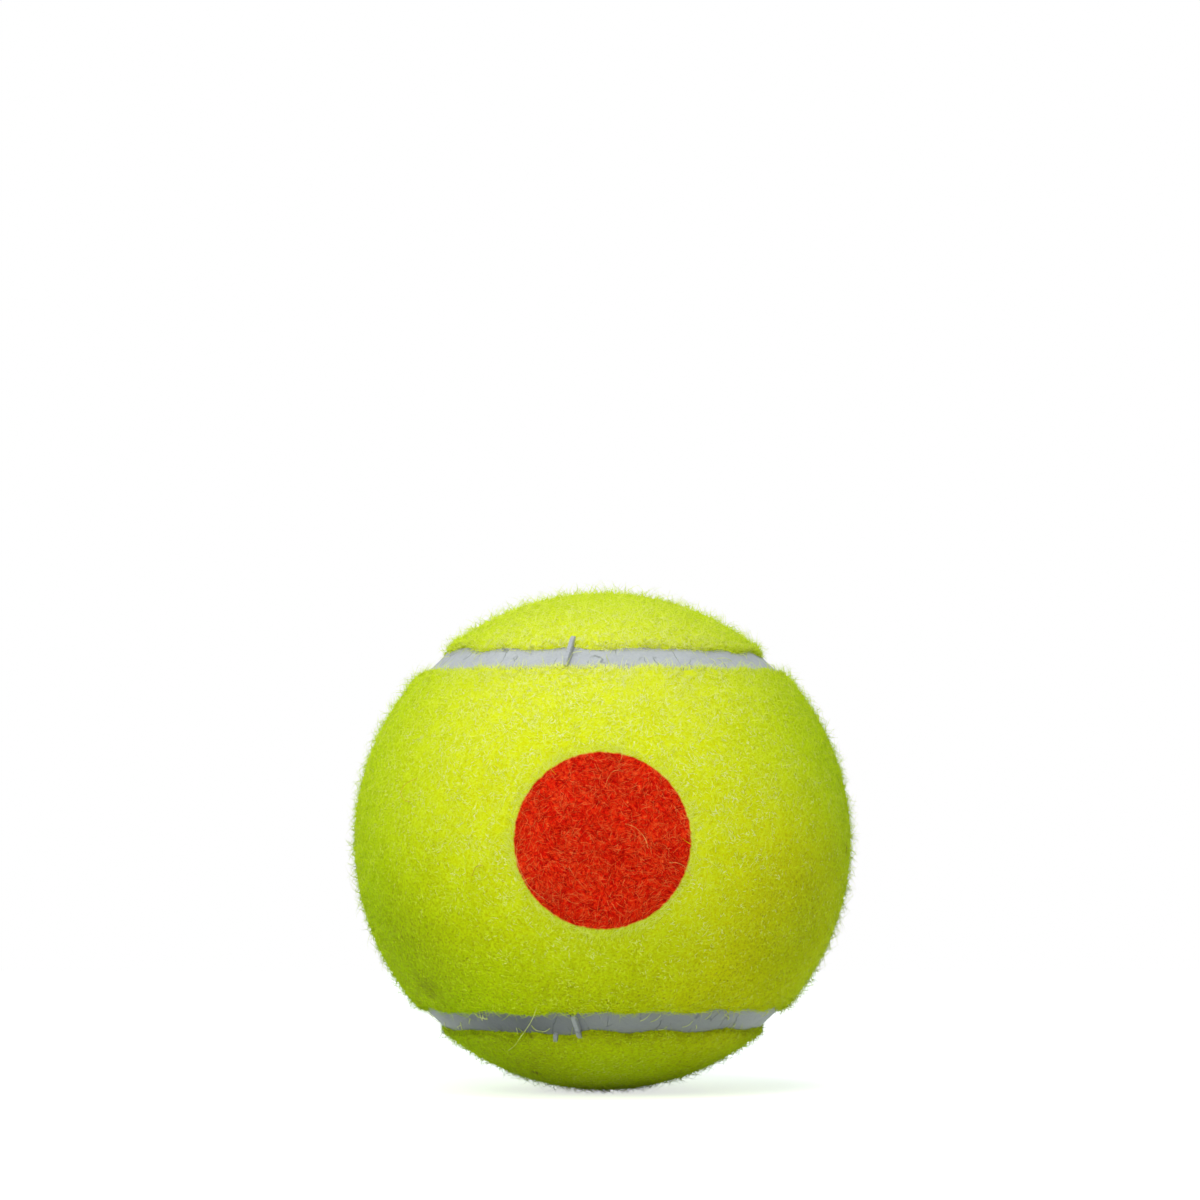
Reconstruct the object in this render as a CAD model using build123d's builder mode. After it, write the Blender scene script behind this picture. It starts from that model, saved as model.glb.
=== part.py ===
"""A low-compression training tennis ball, built up from the pieces that it is made of.

Two half shells of rubber are glued into a hollow core. The core is dipped in rubber cement, and two
dumbbell-shaped panels of felt, each with its own woven backing, are pressed on over it. Rubber fills the
groove between the panels as one endless seam, and the mould leaves two ribs of flash across it. A round
stage mark is printed into the middle of the front panel.

Frame: origin at the centre of the ball, +Z up, and the stage mark faces -Y. Lengths are in millimetres.
"""

import os
from math import asin, cos, degrees, radians, sin, sqrt

from build123d import *

# Layers
ball_diameter = 66.0  # over the felt pile
felt_pile = 3.0
felt_backing = 0.4
cement_coat = 0.2
core_wall = 2.2

# Glued joint of the core
joint_film = 0.3  # between the two ground rims
joint_bevel = 0.7  # on the inner corner of each rim

# Panels and the groove between them
seam_latitude = 46.6  # degrees from the front panel's middle line to the middle of the groove
groove_width = 3.6  # between the cut edges of the two panels
front_shoulder = 2.5  # radius at which the front panel's pile rolls over into the groove
back_shoulder = 1.8

# Seam rubber
seam_depth = 1.3  # of its surface under the pile
seam_dish = 0.15  # by which its surface is hollow

# Flash across the seam, where the mould for the cover parts
flash_longitudes = (-10.9, -8.3)  # degrees from -Y: on the upper seam, then on the lower seam
flash_thickness = 0.7
flash_height = 1.2
flash_length = 5.4  # across the groove

# Printed stage mark
mark_diameter = 22.1
mark_depth = 0.6  # to which the ink soaks into the pile

# Working values
overrun = 2.0  # by which a cutter or a blank passes what trims it
shoulder_limit_share = 0.95  # of the largest shoulder that the panel's edge has room for
flash_foot_share = 0.5  # of the seam rubber's height at which a rib of flash is rooted

# Radii of the layers
pile_radius = ball_diameter / 2
backing_radius = pile_radius - felt_pile
cement_radius = backing_radius - felt_backing
core_radius = cement_radius - cement_coat
bore_radius = core_radius - core_wall
seam_radius = pile_radius - seam_depth
mark_bed_radius = pile_radius - mark_depth

# A sphere's closing line runs over +Y, so it stays inside the back panel and crosses no cut.
sphere_turn = (0, 0, 90)


def radial_plane(longitude, latitude):
    """The plane through the Z axis at a longitude from -Y, with its own X axis out along the latitude."""
    east, north = radians(longitude), radians(latitude)
    outward = (cos(north) * sin(east), -cos(north) * cos(east), sin(north))
    return Plane(origin=(0, 0, 0), x_dir=outward, z_dir=(cos(east), sin(east), 0))


def seam_loop(section):
    """A closed loop along the seam: half turns about Z in front and about X behind, which meet at y = 0."""
    with BuildPart() as loop:
        upper_front = revolve(section, axis=Axis.Z, revolution_arc=-180)
        mirror(upper_front, about=Plane.XY)
        right_back = revolve(section, axis=Axis.X, revolution_arc=-180)
        mirror(right_back, about=Plane.YZ)
    return loop.part


def layer_blank(outer_radius, inner_radius):
    """One layer of the cover all round the ball, parted by the groove."""
    with BuildPart() as blank:
        Sphere(outer_radius, rotation=sphere_turn)
        Sphere(inner_radius, rotation=sphere_turn, mode=Mode.SUBTRACT)
        add(groove, mode=Mode.SUBTRACT)
    return blank.part


def panel_rim(panel):
    """The edges at which a panel's outer face meets its cut edge."""
    cut_edges = panel.faces().filter_by(GeomType.CONE).edges().filter_by(GeomType.CIRCLE)
    middle_radius = (backing_radius + pile_radius) / 2
    return cut_edges.filter_by(lambda edge: (edge @ 0.5).length > middle_radius)


# Heights and radii on the core's joint
rim_height = joint_film / 2
bevel_height = rim_height + joint_bevel
bevel_radius = sqrt(bore_radius**2 - bevel_height**2)
rim_corner = (bevel_radius + joint_bevel, rim_height)
rim_angle = degrees(asin(rim_height / core_radius))
bevel_angle = degrees(asin(bevel_height / bore_radius))

# Upper half shell of the core: a flat ground rim with a bevel on its inner corner
with BuildPart() as core_half_upper:
    with BuildSketch(Plane.XZ):
        with BuildLine():
            outer_arc = CenterArc((0, 0), core_radius, rim_angle, 90 - rim_angle)
            inner_arc = CenterArc((0, 0), bore_radius, bevel_angle, 90 - bevel_angle)
            Line(outer_arc @ 1, inner_arc @ 1)
            Polyline(inner_arc @ 0, rim_corner, outer_arc @ 0)
        make_face()
    revolve(axis=Axis.Z)
core_half_upper.part.label = "core_half_upper"

# Lower half shell, from the same mould
with BuildPart() as core_half_lower:
    mirror(core_half_upper.part, about=Plane.XY)
core_half_lower.part.label = "core_half_lower"

# Glue between the rims, with the bead that fills their bevels
with BuildPart() as core_joint_ring:
    with BuildSketch(Plane.XZ) as ring_section:
        with BuildLine():
            outer_arc = CenterArc((0, 0), core_radius, 0, rim_angle)
            inner_arc = CenterArc((0, 0), bore_radius, 0, bevel_angle)
            Polyline(inner_arc @ 1, rim_corner, outer_arc @ 1)
            Line(inner_arc @ 0, outer_arc @ 0)
        make_face()
        mirror(about=Plane.XZ)
    revolve(axis=Axis.Z)
core_joint_ring.part.label = "core_joint_ring"

# Rubber cement that the core is dipped in
with BuildPart() as core_cement_coat:
    Sphere(cement_radius, rotation=sphere_turn)
    Sphere(core_radius, rotation=sphere_turn, mode=Mode.SUBTRACT)
core_cement_coat.part.label = "core_cement_coat"

# The groove that parts the cover into two panels
groove_foot = cement_radius - overrun
groove_top = pile_radius + overrun
with BuildSketch(radial_plane(90, seam_latitude)) as groove_section:
    with Locations(((groove_foot + groove_top) / 2, 0)):
        Rectangle(groove_top - groove_foot, groove_width)
groove = seam_loop(groove_section.sketch)

# Woven backings
backing_front_blank, backing_back_blank = layer_blank(backing_radius, cement_radius).solids().sort_by(Axis.Y)
with BuildPart() as felt_backing_front:
    add(backing_front_blank)
felt_backing_front.part.label = "felt_backing_front"

with BuildPart() as felt_backing_back:
    add(backing_back_blank)
felt_backing_back.part.label = "felt_backing_back"

# Ink-soaked pile of the stage mark, and the cutter that makes room for it
with BuildPart() as mark_cutter:
    with BuildSketch(Plane.XZ):
        Circle(mark_diameter / 2)
    extrude(amount=pile_radius + overrun)
    Sphere(mark_bed_radius, rotation=sphere_turn, mode=Mode.SUBTRACT)

with BuildPart() as stage_mark:
    add(mark_cutter.part)
    Sphere(pile_radius, rotation=sphere_turn, mode=Mode.INTERSECT)
stage_mark.part.label = "stage_mark"

# Felt panels: each rolls over into the groove as far as its cut edge has room
groove_half = groove_width / 2
edge_room = (felt_pile * (pile_radius + backing_radius)) / (2 * (pile_radius + groove_half))
shoulder_limit = shoulder_limit_share * edge_room
felt_front_blank, felt_back_blank = layer_blank(pile_radius, backing_radius).solids().sort_by(Axis.Y)

with BuildPart() as felt_panel_front:
    add(felt_front_blank)
    fillet(panel_rim(felt_panel_front.part), min(front_shoulder, shoulder_limit))
    add(mark_cutter.part, mode=Mode.SUBTRACT)
felt_panel_front.part.label = "felt_panel_front"

with BuildPart() as felt_panel_back:
    add(felt_back_blank)
    fillet(panel_rim(felt_panel_back.part), min(back_shoulder, shoulder_limit))
felt_panel_back.part.label = "felt_panel_back"

# Seam rubber: fills what the panels leave free, up to its own hollow surface, and carries the flash
seam_reach = groove_half + max(front_shoulder, back_shoulder)
with BuildSketch(radial_plane(90, seam_latitude)) as seam_section:
    with BuildLine():
        ThreePointArc((seam_radius, -groove_half), (seam_radius - seam_dish, 0), (seam_radius, groove_half))
        Polyline(
            (seam_radius, groove_half),
            (seam_radius, seam_reach),
            (groove_foot, seam_reach),
            (groove_foot, -seam_reach),
            (seam_radius, -seam_reach),
            (seam_radius, -groove_half),
        )
    make_face()

flash_foot = cement_radius + flash_foot_share * (seam_radius - cement_radius)
flash_top = seam_radius + flash_height
with BuildPart() as seam_rubber:
    add(seam_loop(seam_section.sketch))
    for longitude, latitude in zip(flash_longitudes, (seam_latitude, -seam_latitude)):
        with BuildSketch(radial_plane(longitude, latitude)):
            with Locations(((flash_foot + flash_top) / 2, 0)):
                Rectangle(flash_top - flash_foot, flash_length)
        extrude(amount=flash_thickness / 2, both=True)
    Sphere(cement_radius, rotation=sphere_turn, mode=Mode.SUBTRACT)
    for layer in (felt_backing_front, felt_backing_back, felt_panel_front, felt_panel_back):
        add(layer.part, mode=Mode.SUBTRACT)
seam_rubber.part.label = "seam_rubber"

os.makedirs("parts", exist_ok=True)
for piece in (
    core_half_upper,
    core_half_lower,
    core_joint_ring,
    core_cement_coat,
    felt_backing_front,
    felt_backing_back,
    felt_panel_front,
    felt_panel_back,
    stage_mark,
    seam_rubber,
):
    export_step(piece.part, f"parts/{piece.part.label}.step")
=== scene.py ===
"""Dress the training tennis ball for its studio picture.

Each felt panel gets a matted ground and a nap of single strands, the seam a strip of aged, cracked rubber
with its flash, and the stage mark a nap that ink has flattened. The hidden layers keep their solids and get
materials of their own. Patches of play, soil and fading on the felt carry painted light and shade in places,
and the lower seam a painted shadow. Everything is in metres, in the frame of the solids: the origin is the
centre of the ball, +Z is up, and the stage mark faces -Y.
"""

import logging
import math
from dataclasses import dataclass, field
from enum import Enum

import bpy
import numpy as np
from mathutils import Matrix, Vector


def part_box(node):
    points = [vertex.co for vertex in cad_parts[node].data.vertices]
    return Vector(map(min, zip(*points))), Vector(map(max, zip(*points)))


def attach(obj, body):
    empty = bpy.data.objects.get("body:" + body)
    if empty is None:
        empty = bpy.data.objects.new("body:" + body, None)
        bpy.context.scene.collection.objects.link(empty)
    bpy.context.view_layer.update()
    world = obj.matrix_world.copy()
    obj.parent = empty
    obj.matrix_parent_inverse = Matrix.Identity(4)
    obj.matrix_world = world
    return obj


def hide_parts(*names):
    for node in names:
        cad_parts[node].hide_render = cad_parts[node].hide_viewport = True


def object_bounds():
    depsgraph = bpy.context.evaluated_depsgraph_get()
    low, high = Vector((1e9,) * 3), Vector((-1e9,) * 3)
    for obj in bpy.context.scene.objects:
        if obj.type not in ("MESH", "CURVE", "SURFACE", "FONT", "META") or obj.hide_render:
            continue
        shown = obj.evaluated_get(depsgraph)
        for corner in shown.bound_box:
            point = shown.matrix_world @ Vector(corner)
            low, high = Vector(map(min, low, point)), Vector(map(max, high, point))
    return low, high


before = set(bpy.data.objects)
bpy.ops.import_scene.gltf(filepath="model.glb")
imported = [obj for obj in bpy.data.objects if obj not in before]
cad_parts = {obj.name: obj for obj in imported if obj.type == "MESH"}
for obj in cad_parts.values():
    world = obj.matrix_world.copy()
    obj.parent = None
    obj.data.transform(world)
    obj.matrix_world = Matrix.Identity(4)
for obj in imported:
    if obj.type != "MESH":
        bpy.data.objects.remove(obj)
CAD_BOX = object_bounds()

MM = 0.001
BODY = "root"
BAKE_MAP = "OFBake"  # the map in which a piece carries its own layout
LOG = logging.getLogger("tennis_ball")

Socket = bpy.types.NodeSocket
Feed = Socket | bpy.types.ID | float | int | bool | str | tuple[float, ...]
Feeds = dict[str | int, Feed]
Colour = tuple[float, float, float]
Palette = tuple[tuple[float, Colour], ...]


class Wiring:
    """Adds nodes to one tree and joins each to what feeds it."""

    def __init__(self, tree: bpy.types.NodeTree) -> None:
        """Start wiring in a tree."""
        self.tree = tree

    def node(self, kind: str, feeds: Feeds | None = None, **settings: object) -> bpy.types.Node:
        """Add one node.

        Args:
            kind: The type name of the node.
            feeds: What goes into its inputs, by name or place: another node's socket, or a fixed value.
            settings: The node's own settings.

        Returns:
            The new node.
        """
        node = self.tree.nodes.new(kind)
        for name, setting in settings.items():
            setattr(node, name, setting)
        for name, feed in (feeds or {}).items():
            if isinstance(name, int):
                plug = node.inputs[name]
            else:
                plug = next(socket for socket in node.inputs if socket.name == name and socket.enabled)
            if isinstance(feed, Socket):
                self.tree.links.new(feed, plug)
            else:
                plug.default_value = feed
        return node

    def out(
        self, kind: str, feeds: Feeds | None = None, output: str | None = None, **settings: object
    ) -> Socket:
        """Add one node and take what comes out of it.

        Args:
            kind: The type name of the node.
            feeds: What goes into its inputs.
            output: The name of the output, or the first one in use.
            settings: The node's own settings.

        Returns:
            The output's socket.
        """
        node = self.node(kind, feeds, **settings)
        return next(
            socket for socket in node.outputs if socket.enabled and (output is None or socket.name == output)
        )

    def math(self, operation: str, first: Feed, second: Feed = 0.0, clamp: bool = False) -> Socket:
        """Work out one number from two."""
        return self.out("ShaderNodeMath", {0: first, 1: second}, operation=operation, use_clamp=clamp)

    def vector(self, operation: str, first: Feed, second: Feed = (0.0, 0.0, 0.0)) -> Socket:
        """Work out one vector, or its length, from two."""
        return self.out("ShaderNodeVectorMath", {0: first, 1: second}, operation=operation)

    def scale(self, vector: Feed, by: Feed) -> Socket:
        """Lengthen a vector or brighten a colour."""
        return self.out("ShaderNodeVectorMath", {0: vector, "Scale": by}, operation="SCALE")

    def remap(
        self, value: Feed, low: float, high: float, to_low: float = 0.0, to_high: float = 1.0
    ) -> Socket:
        """Carry a number from one range to another, and hold it there."""
        return self.out(
            "ShaderNodeMapRange",
            {"Value": value, "From Min": low, "From Max": high, "To Min": to_low, "To Max": to_high},
        )

    def noise(
        self, vector: Feed, size: Feed, detail: float = 2.0, output: str = "Fac", **feeds: Feed
    ) -> Socket:
        """Sample a cloud pattern.

        Args:
            vector: Where to sample it.
            size: How wide one cloud is, in metres.
            detail: How many finer octaves lie on it.
            output: Its grey value or its colour.
            feeds: More inputs of the noise, by name.

        Returns:
            The pattern, from 0 to 1.
        """
        scale = self.math("DIVIDE", 1.0, size) if isinstance(size, Socket) else 1.0 / size
        return self.out(
            "ShaderNodeTexNoise", {"Vector": vector, "Scale": scale, "Detail": detail, **feeds}, output=output
        )

    def ramp(self, value: Feed, stops: Palette) -> Socket:
        """Turn a number into a colour.

        Args:
            value: The number, from 0 to 1.
            stops: Places along it and the colours there.

        Returns:
            The colour.
        """
        node = self.node("ShaderNodeValToRGB", {"Fac": value})
        elements = node.color_ramp.elements
        while len(elements) < len(stops):
            elements.new(1.0)
        for element, (place, colour) in zip(elements, stops):
            element.position = place
            element.color = (*colour, 1.0)
        return node.outputs["Color"]

    def mix(self, share: Feed, first: Socket | Colour, second: Socket | Colour) -> Socket:
        """Mix two colours by a share of the second."""
        first, second = (c if isinstance(c, Socket) else (*c, 1.0) for c in (first, second))
        return self.out("ShaderNodeMix", {"Factor": share, "A": first, "B": second}, data_type="RGBA")

    def blend(self, first: Socket, second: Socket, share: float) -> Socket:
        """Blend two patterns by a share of the first."""
        rest = self.math("MULTIPLY", second, 1.0 - share)
        return self.math("ADD", self.math("MULTIPLY", first, share), rest)

    def apart(self, vector: Socket) -> bpy.types.NodeOutputs:
        """Take a vector apart into X, Y and Z."""
        return self.node("ShaderNodeSeparateXYZ", {"Vector": vector}).outputs

    def centred(self, cloud: Socket) -> Socket:
        """Shift a pattern of numbers from 0 to 1 so that it strays to both sides of 0."""
        return self.math("SUBTRACT", cloud, 0.5)

    def wander(self, vector: Feed, size: Feed, detail: float) -> Socket:
        """Sample a cloud pattern of directions, each no longer than half a unit along an axis."""
        return self.vector("SUBTRACT", self.noise(vector, size, detail, "Color"), (0.5, 0.5, 0.5))


class Surface:
    """A material in the making: its wiring, its shader and where its patterns are read."""

    def __init__(self, name: str, **constants: Feed) -> None:
        """Start a material.

        Args:
            name: The material's name.
            constants: Inputs of the shader that are the same all over, with low lines for spaces.
        """
        self.material = bpy.data.materials.new(name)
        self.material.use_nodes = True
        self.wiring = Wiring(self.material.node_tree)
        self.shader = self.material.node_tree.nodes["Principled BSDF"]
        for label, value in constants.items():
            self.shader.inputs[label.replace("_", " ").title().replace("Ior", "IOR")].default_value = value
        self.place = self.wiring.out("ShaderNodeTexCoord", output="Object")

    def paint(self, colour: Socket) -> None:
        """Set the colour."""
        self.wiring.tree.links.new(colour, self.shader.inputs["Base Color"])

    def roughen(self, value: Socket) -> None:
        """Set the roughness."""
        self.wiring.tree.links.new(value, self.shader.inputs["Roughness"])

    def emboss(self, height: Socket, depth: float) -> None:
        """Raise a pattern from the surface.

        Args:
            height: The pattern, from 0 to 1.
            depth: How far its highest places stand above its lowest, in metres.
        """
        bump = self.wiring.out("ShaderNodeBump", {"Height": height, "Distance": depth, "Strength": 1.0})
        self.wiring.tree.links.new(bump, self.shader.inputs["Normal"])

    def attribute(self, name: str, output: str = "Fac") -> Socket:
        """Read a value that the mesh carries."""
        return self.wiring.out("ShaderNodeAttribute", output=output, attribute_name=name)


class GrowthTree:
    """A geometry tree with named inputs, run on a host mesh to give a plain one."""

    def __init__(self, name: str, numbers: tuple[str, ...], others: dict[str, str] | None = None) -> None:
        """Start a tree.

        Args:
            name: The tree's name.
            numbers: The names of its inputs that are plain numbers.
            others: The names and kinds of its other inputs.
        """
        self.tree = bpy.data.node_groups.new(name, "GeometryNodeTree")
        sockets = self.tree.interface
        sockets.new_socket("Geometry", in_out="INPUT", socket_type="NodeSocketGeometry")
        kinds = {**dict.fromkeys(numbers, "Float"), **(others or {}), "Material": "Material"}
        for label, kind in kinds.items():
            sockets.new_socket(label, in_out="INPUT", socket_type=f"NodeSocket{kind}")
        sockets.new_socket("Geometry", in_out="OUTPUT", socket_type="NodeSocketGeometry")
        self.wiring = Wiring(self.tree)
        self.given = self.wiring.node("NodeGroupInput").outputs

    def attribute(self, name: str, kind: str = "FLOAT") -> Socket:
        """Read a value that the geometry carries."""
        return self.wiring.out("GeometryNodeInputNamedAttribute", {"Name": name}, data_type=kind)

    def store(
        self, geometry: Socket, name: str, value: Feed, kind: str = "FLOAT", domain: str = "POINT"
    ) -> Socket:
        """Put a named value on the geometry.

        Args:
            geometry: What carries it.
            name: What it is called.
            value: The value.
            kind: Its data type.
            domain: What it is kept on.

        Returns:
            The geometry with the value.
        """
        feeds = {"Geometry": geometry, "Name": name, "Value": value}
        return self.wiring.out("GeometryNodeStoreNamedAttribute", feeds, data_type=kind, domain=domain)

    def random(self, low: Feed, high: Feed, offset: int) -> Socket:
        """Draw a number for each element, from the tree's seed and an offset of its own."""
        seed = self.wiring.math("ADD", self.given["Seed"], float(offset))
        feeds = {"Min": low, "Max": high, "Seed": seed}
        return self.wiring.out("FunctionNodeRandomValue", feeds, data_type="FLOAT")

    def resample(self, line: Socket) -> Socket:
        """Walk along a line in even steps."""
        feeds = {"Curve": line, "Length": self.given["Step"]}
        return self.wiring.out("GeometryNodeResampleCurve", feeds, mode="LENGTH")

    def light_normal(self, share: Socket) -> Socket:
        """Turn normals towards the ball's own by some share, so that wool takes the light as one surface."""
        wiring = self.wiring
        own = wiring.scale(wiring.out("GeometryNodeInputNormal"), wiring.math("SUBTRACT", 1.0, share))
        ball = wiring.scale(wiring.vector("NORMALIZE", wiring.out("GeometryNodeInputPosition")), share)
        return wiring.vector("NORMALIZE", wiring.vector("ADD", own, ball))

    def close(self, geometry: Socket, normal: Socket | None = None) -> None:
        """End the tree: real geometry, smooth, in the given material.

        Args:
            geometry: What the tree has made.
            normal: The normals that it is shaded with, or none for its own.
        """
        real = self.wiring.out("GeometryNodeRealizeInstances", {"Geometry": geometry})
        smooth = self.wiring.out("GeometryNodeSetShadeSmooth", {"Geometry": real})
        if normal is not None:
            feeds = {"Mesh": smooth, "Custom Normal": normal}
            smooth = self.wiring.out("GeometryNodeSetMeshNormal", feeds, mode="FREE", domain="POINT")
        dressed = self.wiring.out(
            "GeometryNodeSetMaterial", {"Geometry": smooth, "Material": self.given["Material"]}
        )
        self.wiring.node("NodeGroupOutput", {"Geometry": dressed})

    def run(
        self, name: str, host: bpy.types.Mesh, sizes: object, material: bpy.types.Material
    ) -> bpy.types.Object:
        """Grow a piece on a host.

        Args:
            name: The piece's name.
            host: The mesh that the tree starts from.
            sizes: What has the value of each named input as an attribute, with low lines for spaces.
            material: The piece's material.

        Returns:
            The piece, with a plain mesh and no modifier.
        """
        piece = bpy.data.objects.new(name, host)
        bpy.context.scene.collection.objects.link(piece)
        modifier = piece.modifiers.new(self.tree.name, "NODES")
        modifier.node_group = self.tree
        for socket in self.tree.interface.items_tree:
            if socket.in_out == "INPUT" and socket.name != "Geometry":
                label = socket.name.lower().replace(" ", "_")
                modifier[socket.identifier] = material if label == "material" else getattr(sizes, label)
        depsgraph = bpy.context.evaluated_depsgraph_get()
        grown = bpy.data.meshes.new_from_object(
            piece.evaluated_get(depsgraph), preserve_all_data_layers=True, depsgraph=depsgraph
        )
        piece.modifiers.remove(modifier)
        piece.data = grown
        grown.name = name
        return piece


class NapTree(GrowthTree):
    """Grows strands on a surface: each leaves its root at a slant, arches over and curls aside."""

    STRAND_SIDES = 3
    LENGTH_SHARES = (0.55, 1.35)  # shortest and longest strand
    RADIUS_SHARES = (0.35, 0.65)  # slimmest and broadest strand, of the thickness
    WORN_LIFT, WORN_LENGTH = 0.4, 0.15  # shares of its lift and its length that a strand loses where the value of play and light is full
    WEAR_AND_LIGHT_SHADE = 0.22  # by which a strand is darker with wear and painted shade, and paler with painted light below nothing
    CLEAN_SHADE, SOILED_SHADE = 0.28, 0.1  # darkest of clean strands and of all
    PIT_RANGE = (0.42, 0.3)  # of the pits' pattern, from their brim to their bottom
    SOIL_PICK, SOIL_STRENGTH = 4.0, 1.6  # power by which soil and painted shade pick out a few strands, and their strength there
    MAP_MARGIN, MAP_SPAN, FLANK_WIDTH = 0.04, 0.92, 0.004  # on the strands' map

    def __init__(self) -> None:
        """Build the tree."""
        super().__init__(
            "strands on a surface",
            (
                "Density", "Length", "Thickness", "Flatness", "Evenness", "Lift Low", "Lift High", "Droop",
                "Curl", "Sink", "Swirl Size", "Stray", "Shade", "Shade Spread", "Patch Size", "Patch Spread",
                "Pit Size", "Pit Shade", "Print Span",
            ),
            {"Segments": "Int", "Printed": "Bool", "Seed": "Int"},
        )
        wiring, given = self.wiring, self.given
        roots, normal = self._roots()
        tangent, aside = self._lay(normal)
        lift = self.random(given["Lift Low"], given["Lift High"], 1)
        lift = wiring.math("MULTIPLY", lift, self._kept(self.WORN_LIFT))
        rise = wiring.math("SINE", lift)
        length = wiring.math("MULTIPLY", self._kept(self.WORN_LENGTH), self.random(*self.LENGTH_SHARES, 2))
        length = wiring.math("MULTIPLY", given["Length"], length)
        along = wiring.scale(tangent, wiring.math("COSINE", lift))
        direction = wiring.vector("ADD", along, wiring.scale(normal, rise))
        fall = wiring.math("MULTIPLY", wiring.math("MULTIPLY", rise, length), given["Droop"])
        curl = self.random(-1.0, 1.0, 3)
        swing = wiring.math("MULTIPLY", wiring.math("MULTIPLY", curl, length), given["Curl"])
        bend = wiring.vector("SUBTRACT", wiring.scale(aside, swing), wiring.scale(normal, fall))
        roots = self.store(roots, "bend", bend, "FLOAT_VECTOR")
        roots = self.store(roots, "tint", self._tint())
        roots = self.store(roots, "fade", self.attribute("fade"))
        align = "FunctionNodeAlignRotationToVector"
        turn = wiring.out(align, {"Vector": direction}, axis="Z")
        turn = wiring.out(align, {"Rotation": turn, "Vector": normal}, axis="X", pivot_axis="Z")
        thickness = wiring.math("MULTIPLY", given["Thickness"], self.random(*self.RADIUS_SHARES, 4))
        depth = wiring.math("MULTIPLY", thickness, given["Flatness"])
        size = wiring.out("ShaderNodeCombineXYZ", {"X": depth, "Y": thickness, "Z": length})
        strands = wiring.out(
            "GeometryNodeInstanceOnPoints",
            {"Points": roots, "Instance": self._strand(), "Rotation": turn, "Scale": size},
        )
        strands = wiring.out("GeometryNodeRealizeInstances", {"Geometry": strands})
        reach = self.attribute("along")
        offset = wiring.scale(self.attribute("bend", "FLOAT_VECTOR"), wiring.math("MULTIPLY", reach, reach))
        strands = wiring.out("GeometryNodeSetPosition", {"Geometry": strands, "Offset": offset})
        strands = self.store(strands, BAKE_MAP, self._map_place(), "FLOAT2", "CORNER")
        self.close(strands, self.light_normal(given["Evenness"]))

    def _kept(self, loss: float) -> Socket:
        """Tell what share of something a strand keeps, by the value that presses it flat or brushes it up."""
        return self.wiring.math("SUBTRACT", 1.0, self.wiring.math("MULTIPLY", self.attribute("wear"), loss))

    def _roots(self) -> tuple[Socket, Socket]:
        """Scatter the roots.

        Returns:
            The points, sunk into the surface, and the surface's normal there.
        """
        wiring, given = self.wiring, self.given
        density = wiring.math("MULTIPLY", given["Density"], self.attribute("nap"))
        scatter = wiring.node(
            "GeometryNodeDistributePointsOnFaces",
            {"Mesh": given["Geometry"], "Density": density, "Seed": given["Seed"]},
            distribute_method="RANDOM",
        )
        normal = scatter.outputs["Normal"]
        sink = wiring.scale(normal, wiring.math("MULTIPLY", given["Sink"], -1.0))
        points = scatter.outputs["Points"]
        return wiring.out("GeometryNodeSetPosition", {"Geometry": points, "Offset": sink}), normal

    def _lay(self, normal: Socket) -> tuple[Socket, Socket]:
        """Comb the strands along swirls, with strays.

        Args:
            normal: The surface's normal at the roots.

        Returns:
            The way that each strand lies, and the way across it.
        """
        wiring, given = self.wiring, self.given
        place = wiring.out("GeometryNodeInputPosition")
        swirl = wiring.wander(place, given["Swirl Size"], 1.0)
        stray = wiring.out(
            "FunctionNodeRandomValue",
            {"Min": (-1.0, -1.0, -1.0), "Max": (1.0, 1.0, 1.0), "Seed": given["Seed"]},
            data_type="FLOAT_VECTOR",
        )
        lay = wiring.vector("ADD", swirl, wiring.scale(stray, given["Stray"]))
        tangent = wiring.vector("NORMALIZE", wiring.vector("CROSS_PRODUCT", normal, lay))
        return tangent, wiring.vector("CROSS_PRODUCT", normal, tangent)

    def _tint(self) -> Socket:
        """Shade each strand in patches, with soil, painted shade, painted light and the marks of play."""
        wiring, given = self.wiring, self.given
        place = wiring.out("GeometryNodeInputPosition")
        half = wiring.math("MULTIPLY", given["Shade Spread"], 0.5)
        own = self.random(wiring.math("MULTIPLY", half, -1.0), half, 5)
        cloud = wiring.centred(wiring.noise(place, given["Patch Size"], 3.0))
        patch = wiring.math("MULTIPLY", cloud, given["Patch Spread"])
        tint = wiring.math("ADD", wiring.math("ADD", given["Shade"], own), patch)
        tint = wiring.math("SUBTRACT", tint, wiring.math("MULTIPLY", self.attribute("wear"), self.WEAR_AND_LIGHT_SHADE))
        tint = wiring.math("MAXIMUM", tint, self.CLEAN_SHADE)
        # Painted shade in the pits' hollows, with soil, where the surface carries dirt and shade
        deep = wiring.remap(wiring.noise(place, given["Pit Size"], 1.0), *self.PIT_RANGE)
        deep = wiring.math("MULTIPLY", deep, given["Pit Shade"])
        few = wiring.math("POWER", self.random(0.0, 1.0, 6), self.SOIL_PICK)
        few = wiring.math("MULTIPLY", few, self.SOIL_STRENGTH)
        # Soil, and painted shade in pits and on the dim lower left
        soil = wiring.math("MULTIPLY", self.attribute("dirt"), wiring.math("ADD", deep, few))
        return wiring.math("MAXIMUM", wiring.math("SUBTRACT", tint, soil, clamp=True), self.SOILED_SHADE)

    def _strand(self) -> Socket:
        """Make the strand that all others are copies of: a slim cone with its own length and flank values."""
        wiring = self.wiring
        cone = wiring.out(
            "GeometryNodeMeshCone",
            {
                "Vertices": self.STRAND_SIDES,
                "Side Segments": self.given["Segments"],
                "Radius Top": 0.0,
                "Radius Bottom": 1.0,
                "Depth": 1.0,
            },
            fill_type="NGON",
        )
        apart = wiring.apart(wiring.out("GeometryNodeInputPosition"))
        cone = self.store(cone, "along", apart["Z"])
        flank = wiring.math("ADD", apart["X"], wiring.math("MULTIPLY", apart["Y"], 0.5))
        return self.store(cone, "flank", flank)

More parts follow.
